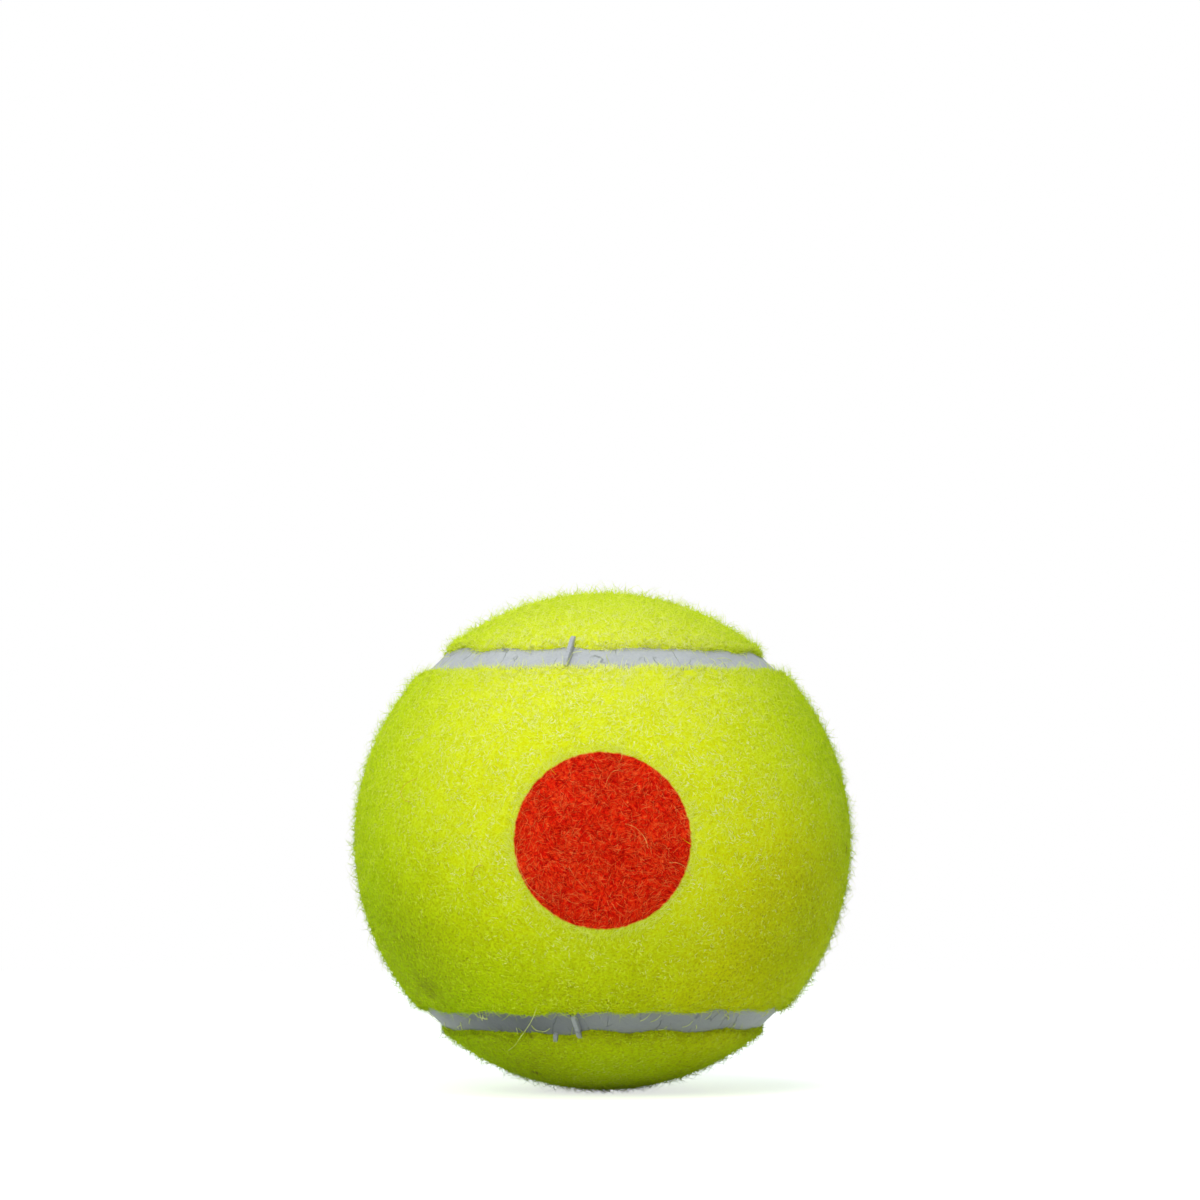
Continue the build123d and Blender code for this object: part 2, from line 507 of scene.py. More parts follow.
    def _map_place(self) -> Socket:
        """Lay the strands on their map: by shade and by their painted light and fading, or as printed from
        the front.
        """
        wiring, given = self.wiring, self.given
        sides = []
        for value, offset in (("tint", "flank"), ("fade", "along")):
            side = wiring.math("MULTIPLY_ADD", self.attribute(value), self.MAP_SPAN)
            side.node.inputs[2].default_value = self.MAP_MARGIN
            sides.append(
                wiring.math("ADD", side, wiring.math("MULTIPLY", self.attribute(offset), self.FLANK_WIDTH))
            )
        palette = wiring.out("ShaderNodeCombineXYZ", {"X": sides[0], "Y": sides[1]})
        apart = wiring.apart(wiring.out("GeometryNodeInputPosition"))
        front = wiring.out("ShaderNodeCombineXYZ", {"X": apart["X"], "Y": apart["Z"]})
        front = wiring.scale(front, wiring.math("DIVIDE", 1.0, given["Print Span"]))
        front = wiring.vector("ADD", front, (0.5, 0.5, 0.0))
        feeds = {"Switch": given["Printed"], "False": palette, "True": front}
        return wiring.out("GeometryNodeSwitch", feeds, input_type="VECTOR")


class GroundTree(GrowthTree):
    """Mats the ground of a felt panel: clumps and pits on its skin, and a ragged rim."""

    def __init__(self) -> None:
        """Build the tree."""
        super().__init__(
            "matted felt ground",
            ("Clump Size", "Clump Height", "Pit Size", "Pit Depth", "Rim Size", "Rim Stray", "Evenness"),
            {"Seed": "Int"},
        )
        wiring, given = self.wiring, self.given
        shift = wiring.out("ShaderNodeCombineXYZ", {"X": given["Seed"]})
        place = wiring.vector("ADD", wiring.out("GeometryNodeInputPosition"), shift)
        clump = wiring.centred(wiring.noise(place, given["Clump Size"], 2.0))
        pit = wiring.centred(wiring.noise(place, given["Pit Size"], 2.0))
        height = wiring.math(
            "ADD",
            wiring.math("MULTIPLY", clump, given["Clump Height"]),
            wiring.math("MULTIPLY", pit, given["Pit Depth"]),
        )
        height = wiring.math("MULTIPLY", height, self.attribute("skin"))
        ragged = wiring.wander(place, given["Rim Size"], 2.0)
        ragged = wiring.scale(ragged, wiring.math("MULTIPLY", given["Rim Stray"], self.attribute("rim")))
        normal = wiring.out("GeometryNodeInputNormal")
        offset = wiring.vector("ADD", wiring.scale(normal, height), ragged)
        matted = wiring.out("GeometryNodeSetPosition", {"Geometry": given["Geometry"], "Offset": offset})
        even = wiring.math("MULTIPLY", given["Evenness"], self.attribute("skin"))
        self.close(matted, self.light_normal(even))


class SeamTree(GrowthTree):
    """Sweeps a strip of rubber along the seam's line, dished and slightly uneven."""

    SECTION_POINTS = 28
    CORNER_POINTS = 2

    def __init__(self) -> None:
        """Build the tree."""
        super().__init__(
            "seam strip",
            ("Width", "Height", "Corner", "Step", "Dish", "Wave Size", "Wave Height", "Drift Size", "Drift"),
        )
        wiring, given = self.wiring, self.given
        line = wiring.out("GeometryNodeMeshToCurve", {"Mesh": given["Geometry"]})
        line = self.resample(line)
        place = wiring.out("GeometryNodeInputPosition")
        drift = wiring.wander(place, given["Drift Size"], 1.0)
        line = wiring.out(
            "GeometryNodeSetPosition", {"Geometry": line, "Offset": wiring.scale(drift, given["Drift"])}
        )
        outward = wiring.vector("NORMALIZE", wiring.out("GeometryNodeInputPosition"))
        line = wiring.out("GeometryNodeSetCurveNormal", {"Curve": line, "Normal": outward}, mode="FREE")
        line = self.store(line, "course", wiring.out("GeometryNodeInputPosition"), "FLOAT_VECTOR")
        section = wiring.out(
            "GeometryNodeCurvePrimitiveQuadrilateral", {"Width": given["Height"], "Height": given["Width"]}
        )
        section = wiring.out(
            "GeometryNodeFilletCurve",
            {
                "Curve": section,
                "Radius": given["Corner"],
                "Limit Radius": True,
                "Count": self.CORNER_POINTS,
            },
            mode="POLY",
        )
        section = wiring.out(
            "GeometryNodeResampleCurve", {"Curve": section, "Count": self.SECTION_POINTS}, mode="COUNT"
        )
        apart = wiring.apart(wiring.out("GeometryNodeInputPosition"))
        section = self.store(section, "upward", apart["X"])
        section = self.store(section, "across", wiring.math("DIVIDE", apart["Y"], given["Width"]))
        strip = wiring.out("GeometryNodeCurveToMesh", {"Curve": line, "Profile Curve": section})
        self.close(wiring.out("GeometryNodeSetPosition", {"Geometry": strip, "Offset": self._unevenness()}))

    def _unevenness(self) -> Socket:
        """Hollow the strip's face and let it wave."""
        wiring, given = self.wiring, self.given
        place = wiring.out("GeometryNodeInputPosition")
        across = wiring.math("MULTIPLY", self.attribute("across"), 2.0)
        hollow = wiring.math("SUBTRACT", 1.0, wiring.math("MULTIPLY", across, across))
        wave = wiring.centred(wiring.noise(place, given["Wave Size"], 3.0))
        height = wiring.math(
            "SUBTRACT",
            wiring.math("MULTIPLY", wave, given["Wave Height"]),
            wiring.math("MULTIPLY", hollow, given["Dish"]),
        )
        top = wiring.math("GREATER_THAN", self.attribute("upward"), 0.0)
        return wiring.scale(wiring.vector("NORMALIZE", place), wiring.math("MULTIPLY", height, top))


class FibreTree(GrowthTree):
    """Sweeps round fibres along lines of a few points each."""

    SECTION_POINTS = 5

    def __init__(self) -> None:
        """Build the tree."""
        super().__init__("loose fibres", ("Thickness", "Step"))
        wiring, given = self.wiring, self.given
        line = wiring.out("GeometryNodeMeshToCurve", {"Mesh": given["Geometry"]})
        line = wiring.out("GeometryNodeCurveSplineType", {"Curve": line}, spline_type="CATMULL_ROM")
        line = self.resample(line)
        section = wiring.out(
            "GeometryNodeCurvePrimitiveCircle",
            {"Resolution": self.SECTION_POINTS, "Radius": wiring.math("MULTIPLY", given["Thickness"], 0.5)},
        )
        feeds = {"Curve": line, "Profile Curve": section, "Fill Caps": True}
        self.close(wiring.out("GeometryNodeCurveToMesh", feeds))


class PanelSide(Enum):
    """Which of the two felt panels a piece belongs to."""

    FRONT = "front"
    BACK = "back"


@dataclass(frozen=True)
class SeamLine:
    """The line in which the two panels meet: level arcs in front, upright arcs behind."""

    latitude: float = math.radians(46.6)
    slip: float = math.radians(0.6)  # by which the lower seam runs higher on one side of its flash
    slip_start: float = math.radians(-8.3)  # longitudes between which it does
    slip_end: float = math.radians(80.0)
    slip_fade: float = math.radians(25.0)  # along the seam, before the slip's end
    slip_reach: float = math.radians(14.0)  # across the seam

    def half_angle(self, side: PanelSide) -> float:
        """Tell how far a panel reaches from its own middle line to the seam."""
        return self.latitude if side is PanelSide.FRONT else math.pi / 2 - self.latitude

    @staticmethod
    def columns(belt_steps: int, lobe_steps: int) -> np.ndarray:
        """Walk once round a loop that runs along a panel's belt and round its two lobes.

        Args:
            belt_steps: Steps along each side of the belt.
            lobe_steps: Steps round each lobe.

        Returns:
            One row for each step: shares of the loop's place in x, in -y and y, and in z, and its longitude.
        """
        belt = (np.arange(belt_steps) / belt_steps - 0.5) * math.pi
        lobe = np.arange(lobe_steps) / lobe_steps * math.pi
        none, one = np.zeros(lobe_steps), np.ones(lobe_steps)
        flat = np.zeros(belt_steps)
        upper = np.stack([np.sin(belt), np.cos(belt), flat, flat + 1, belt], 1)
        right = np.stack([one, none, np.sin(lobe), np.cos(lobe), one * math.pi / 2], 1)
        lower = np.stack([-np.sin(belt), np.cos(belt), flat, flat - 1, -belt], 1)
        left = np.stack([-one, none, np.sin(lobe), -np.cos(lobe), -one * math.pi / 2], 1)
        return np.concatenate([upper, right, lower, left])

    def directions(self, columns: np.ndarray, angle: np.ndarray | float, side: PanelSide) -> np.ndarray:
        """Find the directions of points at some angle from a panel's middle line.

        Args:
            columns: Steps round the loop.
            angle: Angles from the middle line: one, a column with one for each row, or by row and column.
            side: The panel.

        Returns:
            Unit vectors, by row and column.
        """
        near, far = np.cos(angle), np.sin(angle)
        x = near * columns[:, 0]
        y = far * columns[:, 2] - near * columns[:, 1]
        z = far * columns[:, 3]
        ways = (x, y, z) if side is PanelSide.FRONT else (z, -y, x)
        return self._slipped(np.stack(ways, axis=-1))

    def _slipped(self, ways: np.ndarray) -> np.ndarray:
        """Shift directions near the lower seam, on the side of its flash where the panels met out of line."""
        latitude = np.arcsin(np.clip(ways[..., 2], -1.0, 1.0))
        longitude = np.arctan2(ways[..., 0], -ways[..., 1])
        near = 1.0 - smooth_step(np.abs(latitude + self.latitude), self.slip_reach / 3, self.slip_reach)
        fading = 1.0 - smooth_step(longitude, self.slip_end - self.slip_fade, self.slip_end)
        moved = latitude + self.slip * near * fading * (longitude > self.slip_start)
        return np.where((moved != latitude)[..., None], way_to(longitude, moved), ways)


def plain_mesh(name: str, points: np.ndarray, faces: list[tuple[int, ...]]) -> bpy.types.Mesh:
    """Make a mesh from points and faces.

    Args:
        name: The mesh's name.
        points: The points.
        faces: The faces, as places in the list of points.

    Returns:
        The mesh.
    """
    mesh = bpy.data.meshes.new(name)
    mesh.from_pydata(points.tolist(), [], faces)
    mesh.update()
    return mesh


def put_values(mesh: bpy.types.Mesh, **values: np.ndarray) -> None:
    """Store named values on a mesh's points."""
    for name, value in values.items():
        mesh.attributes.new(name, "FLOAT", "POINT").data.foreach_set("value", value.astype(np.float32))


def way_to(longitude: np.ndarray | float, latitude: np.ndarray | float) -> np.ndarray:
    """Find the directions to places on the ball, with longitudes from -Y."""
    level = np.cos(latitude)
    return np.stack([level * np.sin(longitude), -level * np.cos(longitude), np.sin(latitude)], axis=-1)


def smooth_step(value: np.ndarray, low: float, high: float) -> np.ndarray:
    """Rise softly from 0 at the low end to 1 at the high end."""
    share = np.clip((value - low) / (high - low), 0.0, 1.0)
    return share * share * (3.0 - 2.0 * share)


@dataclass(frozen=True)
class WoolFinish:
    """Dyed wool that lets light through: a shade picks its colour, mixed from its fresh dye and a paler,
    yellower palette that is painted light where the ball is lit.
    """

    name: str
    fresh: Palette
    faded_and_lit: Palette
    glow_reach: float
    glow: float = 0.5  # share of the light that passes through
    glow_tint: Colour = (1.0, 1.0, 0.3)
    roughness: float = 0.7
    gloss: float = 0.02
    sheen: float = 0.02
    sheen_spread: float = 0.5

    def surface(self) -> Surface:
        """Start the material."""
        return Surface(
            self.name,
            roughness=self.roughness,
            specular_ior_level=self.gloss,
            sheen_weight=self.sheen,
            sheen_roughness=self.sheen_spread,
            subsurface_weight=self.glow,
            subsurface_radius=self.glow_tint,
            subsurface_scale=self.glow_reach,
        )

    def colour(self, surface: Surface, shade: Socket) -> Socket:
        """Pick the colour of each shade."""
        fresh, faded_and_lit = (surface.wiring.ramp(shade, palette) for palette in (self.fresh, self.faded_and_lit))
        return surface.wiring.mix(surface.attribute("fade"), fresh, faded_and_lit)


@dataclass(frozen=True)
class FibreFinish(WoolFinish):
    """Single strands, each with a shade of its own."""

    glow_reach: float = 0.5 * MM
    glow: float = 0.0

    def material(self) -> bpy.types.Material:
        """Make the material."""
        surface = self.surface()
        surface.paint(self.colour(surface, surface.attribute("tint")))
        return surface.material


@dataclass(frozen=True)
class GroundFinish(WoolFinish):
    """Matted wool under the nap, in clouds and flecks, darker than the nap partly as painted shade, with soil
    and painted shade in places.
    """

    glow_reach: float = 1.2 * MM
    cloud_size: float = 5.0 * MM
    fleck_size: float = 0.35 * MM
    fibre_depth: float = 0.2 * MM
    # Lower than the nap's shades: the gaps under the strands partly painted shade
    shade_low: float = 0.24
    shade_high: float = 0.62
    wear_and_light_shade: float = 0.17  # by which wear and painted shade darken it, and painted light makes it paler
    cloud_share: float = 0.12  # of the pattern, the rest of which is flecks
    fleck_roughness: float = 0.7
    pattern_range: tuple[float, float] = (0.36, 0.64)  # over which the shade changes
    # Mixed in by the dirt-and-shade value: soil, and painted shade where the shade patches lie
    soil: Colour = (0.16, 0.11, 0.02)

    def material(self) -> bpy.types.Material:
        """Make the material."""
        surface = self.surface()
        wiring = surface.wiring
        cloud = wiring.noise(surface.place, self.cloud_size, 3.0)
        fleck = wiring.noise(surface.place, self.fleck_size, 4.0, Roughness=self.fleck_roughness)
        shade = wiring.blend(cloud, fleck, self.cloud_share)
        shade = wiring.remap(shade, *self.pattern_range, self.shade_low, self.shade_high)
        worn_and_lit = wiring.math("MULTIPLY", surface.attribute("wear"), self.wear_and_light_shade)
        colour = self.colour(surface, wiring.math("SUBTRACT", shade, worn_and_lit))
        surface.paint(wiring.mix(surface.attribute("dirt"), colour, self.soil))
        surface.emboss(fleck, self.fibre_depth)
        return surface.material


@dataclass(frozen=True)
class InkFinish:
    """Felt round a printed disc: ink inside its edge, bare wool outside."""

    name: str
    radius: float
    strands: bool  # each with a shade of its own, or a plain ground
    ink: Palette
    fresh: Palette
    # The paler, yellower wool: painted light where the ball is lit
    faded_and_lit: Palette
    wool_low: float = 0.42
    wool_high: float = 0.82
    edge_stray: float = 0.5 * MM
    edge_size: float = 0.9 * MM
    edge_blur: float = 0.12 * MM
    cloud_size: float = 3.5 * MM
    fleck_size: float = 0.55 * MM
    cloud_share: float = 0.2  # of the ground's pattern, the rest of which is flecks
    pattern_range: tuple[float, float] = (0.28, 0.72)  # over which the ground's shade changes
    roughness: float = 0.6
    gloss: float = 0.02

    def material(self) -> bpy.types.Material:
        """Make the material."""
        surface = Surface(self.name, roughness=self.roughness, specular_ior_level=self.gloss)
        wiring = surface.wiring
        flat = wiring.vector("MULTIPLY", surface.place, (1.0, 0.0, 1.0))
        if self.strands:
            shade = surface.attribute("tint")
        else:
            cloud = wiring.noise(flat, self.cloud_size, 2.0)
            fleck = wiring.noise(flat, self.fleck_size, 3.0)
            shade = wiring.remap(wiring.blend(cloud, fleck, self.cloud_share), *self.pattern_range)
        stray = wiring.centred(wiring.noise(flat, self.edge_size, 3.0))
        stray = wiring.math("MULTIPLY", stray, self.edge_stray)
        reach = wiring.math("ADD", wiring.vector("LENGTH", flat), stray)
        bare = wiring.remap(reach, self.radius - self.edge_blur, self.radius + self.edge_blur)
        shade_there = wiring.remap(shade, 0.0, 1.0, self.wool_low, self.wool_high)
        fresh, faded_and_lit = wiring.ramp(shade_there, self.fresh), wiring.ramp(shade_there, self.faded_and_lit)
        wool = wiring.mix(surface.attribute("fade"), fresh, faded_and_lit)
        surface.paint(wiring.mix(bare, wiring.ramp(shade, self.ink), wool))
        return surface.material


@dataclass(frozen=True)
class StrayFinish:
    """A loose fibre, darker and lighter along its length."""

    name: str
    dark: Colour
    light: Colour
    spot_size: float = 0.7 * MM
    spot_range: tuple[float, float] = (0.35, 0.65)  # of the spots' pattern, from dark to light
    roughness: float = 0.6
    gloss: float = 0.2

    def material(self) -> bpy.types.Material:
        """Make the material."""
        surface = Surface(self.name, roughness=self.roughness, specular_ior_level=self.gloss)
        wiring = surface.wiring
        spot = wiring.remap(wiring.noise(surface.place, self.spot_size, 2.0), *self.spot_range)
        surface.paint(wiring.mix(spot, self.dark, self.light))
        return surface.material


@dataclass(frozen=True)
class SeamFinish:
    """Grey rubber of the seam: chalky bloom, hairline cracks, grime along the felt, and painted shadow under
    the felt.
    """

    name: str = "seam rubber"
    pale: Colour = (0.58, 0.57, 0.62)
    dull: Colour = (0.48, 0.475, 0.53)
    # Painted shadow on the lower seam, under the felt's overhang, and the flash's darkening
    dust_and_shadow: Colour = (0.13, 0.132, 0.16)
    grime: Colour = (0.27, 0.27, 0.17)
    crack: Colour = (0.20, 0.21, 0.20)
    bloom_size: float = 2.2 * MM
    speck_size: float = 0.35 * MM
    crack_size: float = 3.0 * MM
    crack_stray: float = 1.2 * MM
    crack_slant: float = 0.3  # share of their own course that the cracks keep along the seam
    crack_width: float = 0.03  # share of their spacing
    crack_strength: float = 0.8
    bloom_share: float = 0.6  # of the pattern, the rest of which is specks
    pattern_range: tuple[float, float] = (0.38, 0.62)  # from dull to pale
    cracked_range: tuple[float, float] = (0.48, 0.58)  # of the bloom, from sound to cracked
    grimy_range: tuple[float, float] = (0.2, 0.42)  # from the middle to the edge, in widths
    speck_range: tuple[float, float] = (0.3, 0.7)
    roughness_range: tuple[float, float] = (0.5, 0.8)
    gloss: float = 0.35
    bump_depth: float = 0.08 * MM

    def material(self) -> bpy.types.Material:
        """Make the material."""
        surface = Surface(self.name, specular_ior_level=self.gloss)
        wiring = surface.wiring
        bloom = wiring.noise(surface.place, self.bloom_size, 4.0)
        speck = wiring.noise(surface.place, self.speck_size, 3.0)
        shade = wiring.blend(bloom, speck, self.bloom_share)
        colour = wiring.mix(wiring.remap(shade, *self.pattern_range), self.dull, self.pale)
        warp = wiring.scale(wiring.noise(surface.place, self.bloom_size, 3.0, "Color"), self.crack_stray)
        course = wiring.scale(surface.attribute("course", "Vector"), 1.0 - self.crack_slant)
        drawn = wiring.vector("ADD", course, wiring.scale(surface.place, self.crack_slant))
        gap = wiring.out(
            "ShaderNodeTexVoronoi",
            {"Vector": wiring.vector("ADD", drawn, warp), "Scale": 1.0 / self.crack_size},
            feature="DISTANCE_TO_EDGE",
        )
        crack = wiring.remap(gap, 0.0, self.crack_width, self.crack_strength, 0.0)
        crack = wiring.math("MULTIPLY", crack, wiring.remap(bloom, *self.cracked_range))
        colour = wiring.mix(crack, colour, self.crack)
        edge = wiring.remap(wiring.math("ABSOLUTE", surface.attribute("across")), *self.grimy_range)
        soil = wiring.math("MULTIPLY", edge, wiring.remap(speck, *self.speck_range))
        # Painted shadow where its patches lie, and the flash's darkening
        colour = wiring.mix(surface.attribute("dirt"), colour, self.dust_and_shadow)
        surface.paint(wiring.mix(soil, colour, self.grime))
        surface.roughen(wiring.remap(bloom, *self.speck_range, *self.roughness_range))
        surface.emboss(wiring.math("SUBTRACT", speck, crack), self.bump_depth)
        return surface.material


@dataclass(frozen=True)
class MouldedFinish:
    """A plain layer inside the ball, cloudy and grained as it left the mould or the dip."""

    name: str
    dark: Colour
    light: Colour
    roughness: float
    grain_size: float = 0.6 * MM
    cloud_size: float = 9.0 * MM
    grain_depth: float = 0.04 * MM
    cloud_share: float = 0.5  # of the pattern, the rest of which is grain
    shade_range: tuple[float, float] = (0.35, 0.65)  # of the pattern, from dark to light
    grain_range: tuple[float, float] = (0.2, 0.8)  # of the grain, from smooth to rough
    roughness_stray: float = 0.1
    gloss: float = 0.4

    def material(self) -> bpy.types.Material:
        """Make the material."""
        surface = Surface(self.name, specular_ior_level=self.gloss)
        wiring = surface.wiring
        cloud = wiring.noise(surface.place, self.cloud_size, 4.0)
        grain = wiring.noise(surface.place, self.grain_size, 3.0)
        share = wiring.remap(wiring.blend(cloud, grain, self.cloud_share), *self.shade_range)
        surface.paint(wiring.mix(share, self.dark, self.light))
        low, high = self.roughness - self.roughness_stray, self.roughness + self.roughness_stray
        surface.roughen(wiring.remap(grain, *self.grain_range, low, high))
        surface.emboss(grain, self.grain_depth)
        return surface.material


@dataclass(frozen=True)
class WeaveFinish:
    """Plain-woven cotton that follows a panel round the ball."""

    side: PanelSide
    radius: float
    thread_pitch: float = 0.55 * MM
    warp_colour: Colour = (0.72, 0.68, 0.55)
    weft_colour: Colour = (0.60, 0.56, 0.44)
    gap_colour: Colour = (0.30, 0.27, 0.19)
    thread_depth: float = 0.12 * MM
    gap_range: tuple[float, float] = (0.3, 0.75)  # of the threads' height, from a gap to a thread
    fuzz_range: tuple[float, float] = (0.4, 0.8)
    fuzz_strength: float = 0.4
    roughness: float = 0.9
    gloss: float = 0.15

    def material(self) -> bpy.types.Material:
        """Make the material."""
        name = f"backing weave {self.side.value}"
        surface = Surface(name, roughness=self.roughness, specular_ior_level=self.gloss)
        wiring = surface.wiring
        apart = wiring.apart(surface.place)
        if self.side is PanelSide.FRONT:
            east, ahead, north = apart["X"], wiring.math("MULTIPLY", apart["Y"], -1.0), apart["Z"]
        else:
            east, ahead, north = apart["Z"], apart["Y"], apart["X"]
        pitch = self.thread_pitch / self.radius
        longitude = wiring.math("DIVIDE", wiring.math("ARCTAN2", east, ahead), pitch)
        height = wiring.math("DIVIDE", north, wiring.vector("LENGTH", surface.place))
        latitude = wiring.math("DIVIDE", wiring.math("ARCSINE", height), pitch)
        warp = wiring.math("SINE", wiring.math("MULTIPLY", longitude, math.pi))
        weft = wiring.math("SINE", wiring.math("MULTIPLY", latitude, math.pi))
        over = wiring.math("GREATER_THAN", wiring.math("MULTIPLY", warp, weft), 0.0)
        crown = wiring.math("MAXIMUM", wiring.math("ABSOLUTE", warp), wiring.math("ABSOLUTE", weft))
        colour = wiring.mix(over, self.warp_colour, self.weft_colour)
        colour = wiring.mix(wiring.remap(crown, *self.gap_range, 1.0, 0.0), colour, self.gap_colour)
        fuzz = wiring.noise(surface.place, self.thread_pitch, 3.0)
        fuzz = wiring.remap(fuzz, *self.fuzz_range, 0.0, self.fuzz_strength)
        surface.paint(wiring.mix(fuzz, colour, self.weft_colour))
        surface.emboss(crown, self.thread_depth)
        return surface.material


# Colours by shade: of the wool, from soil and painted shade to pale strands that are painted glints, the
# faded-and-lit wool paler and yellower as painted light; and of the ink, from deep to worn thin
FRESH_WOOL: Palette = (
    (0.0, (0.13, 0.09, 0.02)),
    (0.14, (0.40, 0.47, 0.002)),
    (0.28, (0.48, 0.66, 0.001)),
    (0.45, (0.63, 0.84, 0.001)),
    (0.62, (0.77, 0.96, 0.006)),
    (0.80, (0.88, 0.99, 0.04)),
    (1.0, (0.96, 1.0, 0.18)),
)
FADED_AND_LIT_WOOL: Palette = (
    (0.0, (0.16, 0.09, 0.02)),
    (0.14, (0.66, 0.60, 0.003)),
    (0.28, (0.83, 0.78, 0.002)),
    (0.45, (0.87, 0.91, 0.008)),
    (0.62, (0.94, 0.97, 0.065)),
    (0.80, (0.99, 1.0, 0.23)),
    (1.0, (1.0, 0.98, 0.45)),
)
INK: Palette = (
    (0.0, (0.18, 0.001, 0.001)),
    (0.25, (0.48, 0.002, 0.001)),
    (0.5, (0.86, 0.010, 0.002)),
    (0.75, (0.96, 0.060, 0.008)),
    (1.0, (0.99, 0.24, 0.07)),
)


@dataclass(frozen=True)
class Nap:
    """One growth of strands on a panel."""

    name: str
    seed: int
    density: float = 6.2e6  # strands on each square metre
    length: float = 0.62 * MM
    thickness: float = 0.14 * MM
    flatness: float = 0.35  # share of its width that a strand has in depth
    evenness: float = 0.62  # by which a strand takes the light as the ball's surface does
    lift_low: float = 0.05  # least angle at which strands leave the surface
    lift_high: float = 0.35
    droop: float = 0.6  # share of its rise that a strand loses again at its tip
    curl: float = 0.25
    segments: int = 1
    sink: float = 0.02 * MM
    swirl_size: float = 7.0 * MM
    stray: float = 0.3
    shade: float = 0.62
    shade_spread: float = 1.0
    patch_size: float = 2.5 * MM
    patch_spread: float = 0.2
    pit_size: float = 0.8 * MM
    pit_shade: float = 1.6  # by which soil and painted shade darken the pits
    printed: bool = False  # its map shows it from the front, and not by shade
    print_span: float = 1.0  # of that map
    at_edge: bool = False  # it grows on the panel's rolled edge, and not on its skin

    def grow(self, tree: NapTree, host: bpy.types.Mesh, material: bpy.types.Material) -> bpy.types.Object:
        """Grow the strands.

        Args:
            tree: The tree that grows them.
            host: The surface that they stand on.
            material: Their material.

        Returns:
            The piece.
        """
        return tree.run(self.name, host, self, material)


@dataclass(frozen=True)
class StandingNap(Nap):
    """Short strands that brushing has raised, and that fray the panel's outline."""

    density: float = 2.0e6
    length: float = 1.0 * MM
    thickness: float = 0.1 * MM
    flatness: float = 0.8
    lift_low: float = 0.45
    lift_high: float = 1.2
    droop: float = 0.45
    curl: float = 0.6
    segments: int = 2
    stray: float = 0.9
    shade: float = 0.55
    shade_spread: float = 0.3


@dataclass(frozen=True)
class LooseHairs(Nap):
    """Long fine hairs that stand off the nap."""

    density: float = 1.1e6
    length: float = 2.3 * MM
    thickness: float = 0.07 * MM
    flatness: float = 1.0
    lift_low: float = 0.4
    lift_high: float = 1.25
    droop: float = 0.4
    curl: float = 0.7
    segments: int = 3
    stray: float = 1.5
    shade: float = 0.6
    shade_spread: float = 0.3


@dataclass(frozen=True)
class CombedNap(Nap):
    """Nap that the printing pad has pressed down and combed."""

    density: float = 2.0e7
    length: float = 1.3 * MM
    thickness: float = 0.1 * MM
    flatness: float = 0.6
    evenness: float = 0.25
    lift_low: float = 0.03
    lift_high: float = 0.3
    droop: float = 0.9
    curl: float = 0.45
    segments: int = 3
    stray: float = 0.2
    shade: float = 0.58
    shade_spread: float = 0.8
    patch_spread: float = 0.06
    pit_shade: float = 0.0
    printed: bool = True


@dataclass(frozen=True)
class Fringe(Nap):
    """Cut ends that hang from a panel's edge over the seam."""

    density: float = 9.0e6
    length: float = 0.7 * MM
    thickness: float = 0.1 * MM
    flatness: float = 0.8
    evenness: float = 0.9
    lift_low: float = 0.7
    lift_high: float = 1.4
    droop: float = 0.2
    segments: int = 2
    stray: float = 1.5
    shade_spread: float = 0.6
    pit_shade: float = 0.0
    at_edge: bool = True


@dataclass(frozen=True)
class Patch:
    """A round patch on the ball, strongest in its middle."""

    way: tuple[float, float, float]  # from the ball's centre to the patch's middle
    reach: float  # angle from its middle to its edge
    strength: float

    FULL_SHARE = 0.25  # of its reach, up to which it has its whole strength

    def share(self, points: np.ndarray) -> np.ndarray:
        """Tell how strongly the patch shows at each point."""
        ways = points / np.linalg.norm(points, axis=1, keepdims=True)
        angle = np.arccos(np.clip(ways @ np.array(Vector(self.way).normalized()), -1.0, 1.0))
        return self.strength * (1.0 - smooth_step(angle, self.reach * self.FULL_SHARE, self.reach))


def patches_share(patches: tuple[Patch, ...], points: np.ndarray) -> np.ndarray:
    """Add up how strongly some patches show at each point."""
    return sum((patch.share(points) for patch in patches), np.zeros(len(points)))


@dataclass(frozen=True)
class PanelEdge:
    """How a panel ends at the seam."""

    roll: float  # radius at which the ground rolls over into the groove
    gap: float  # from the seam's middle to the cut


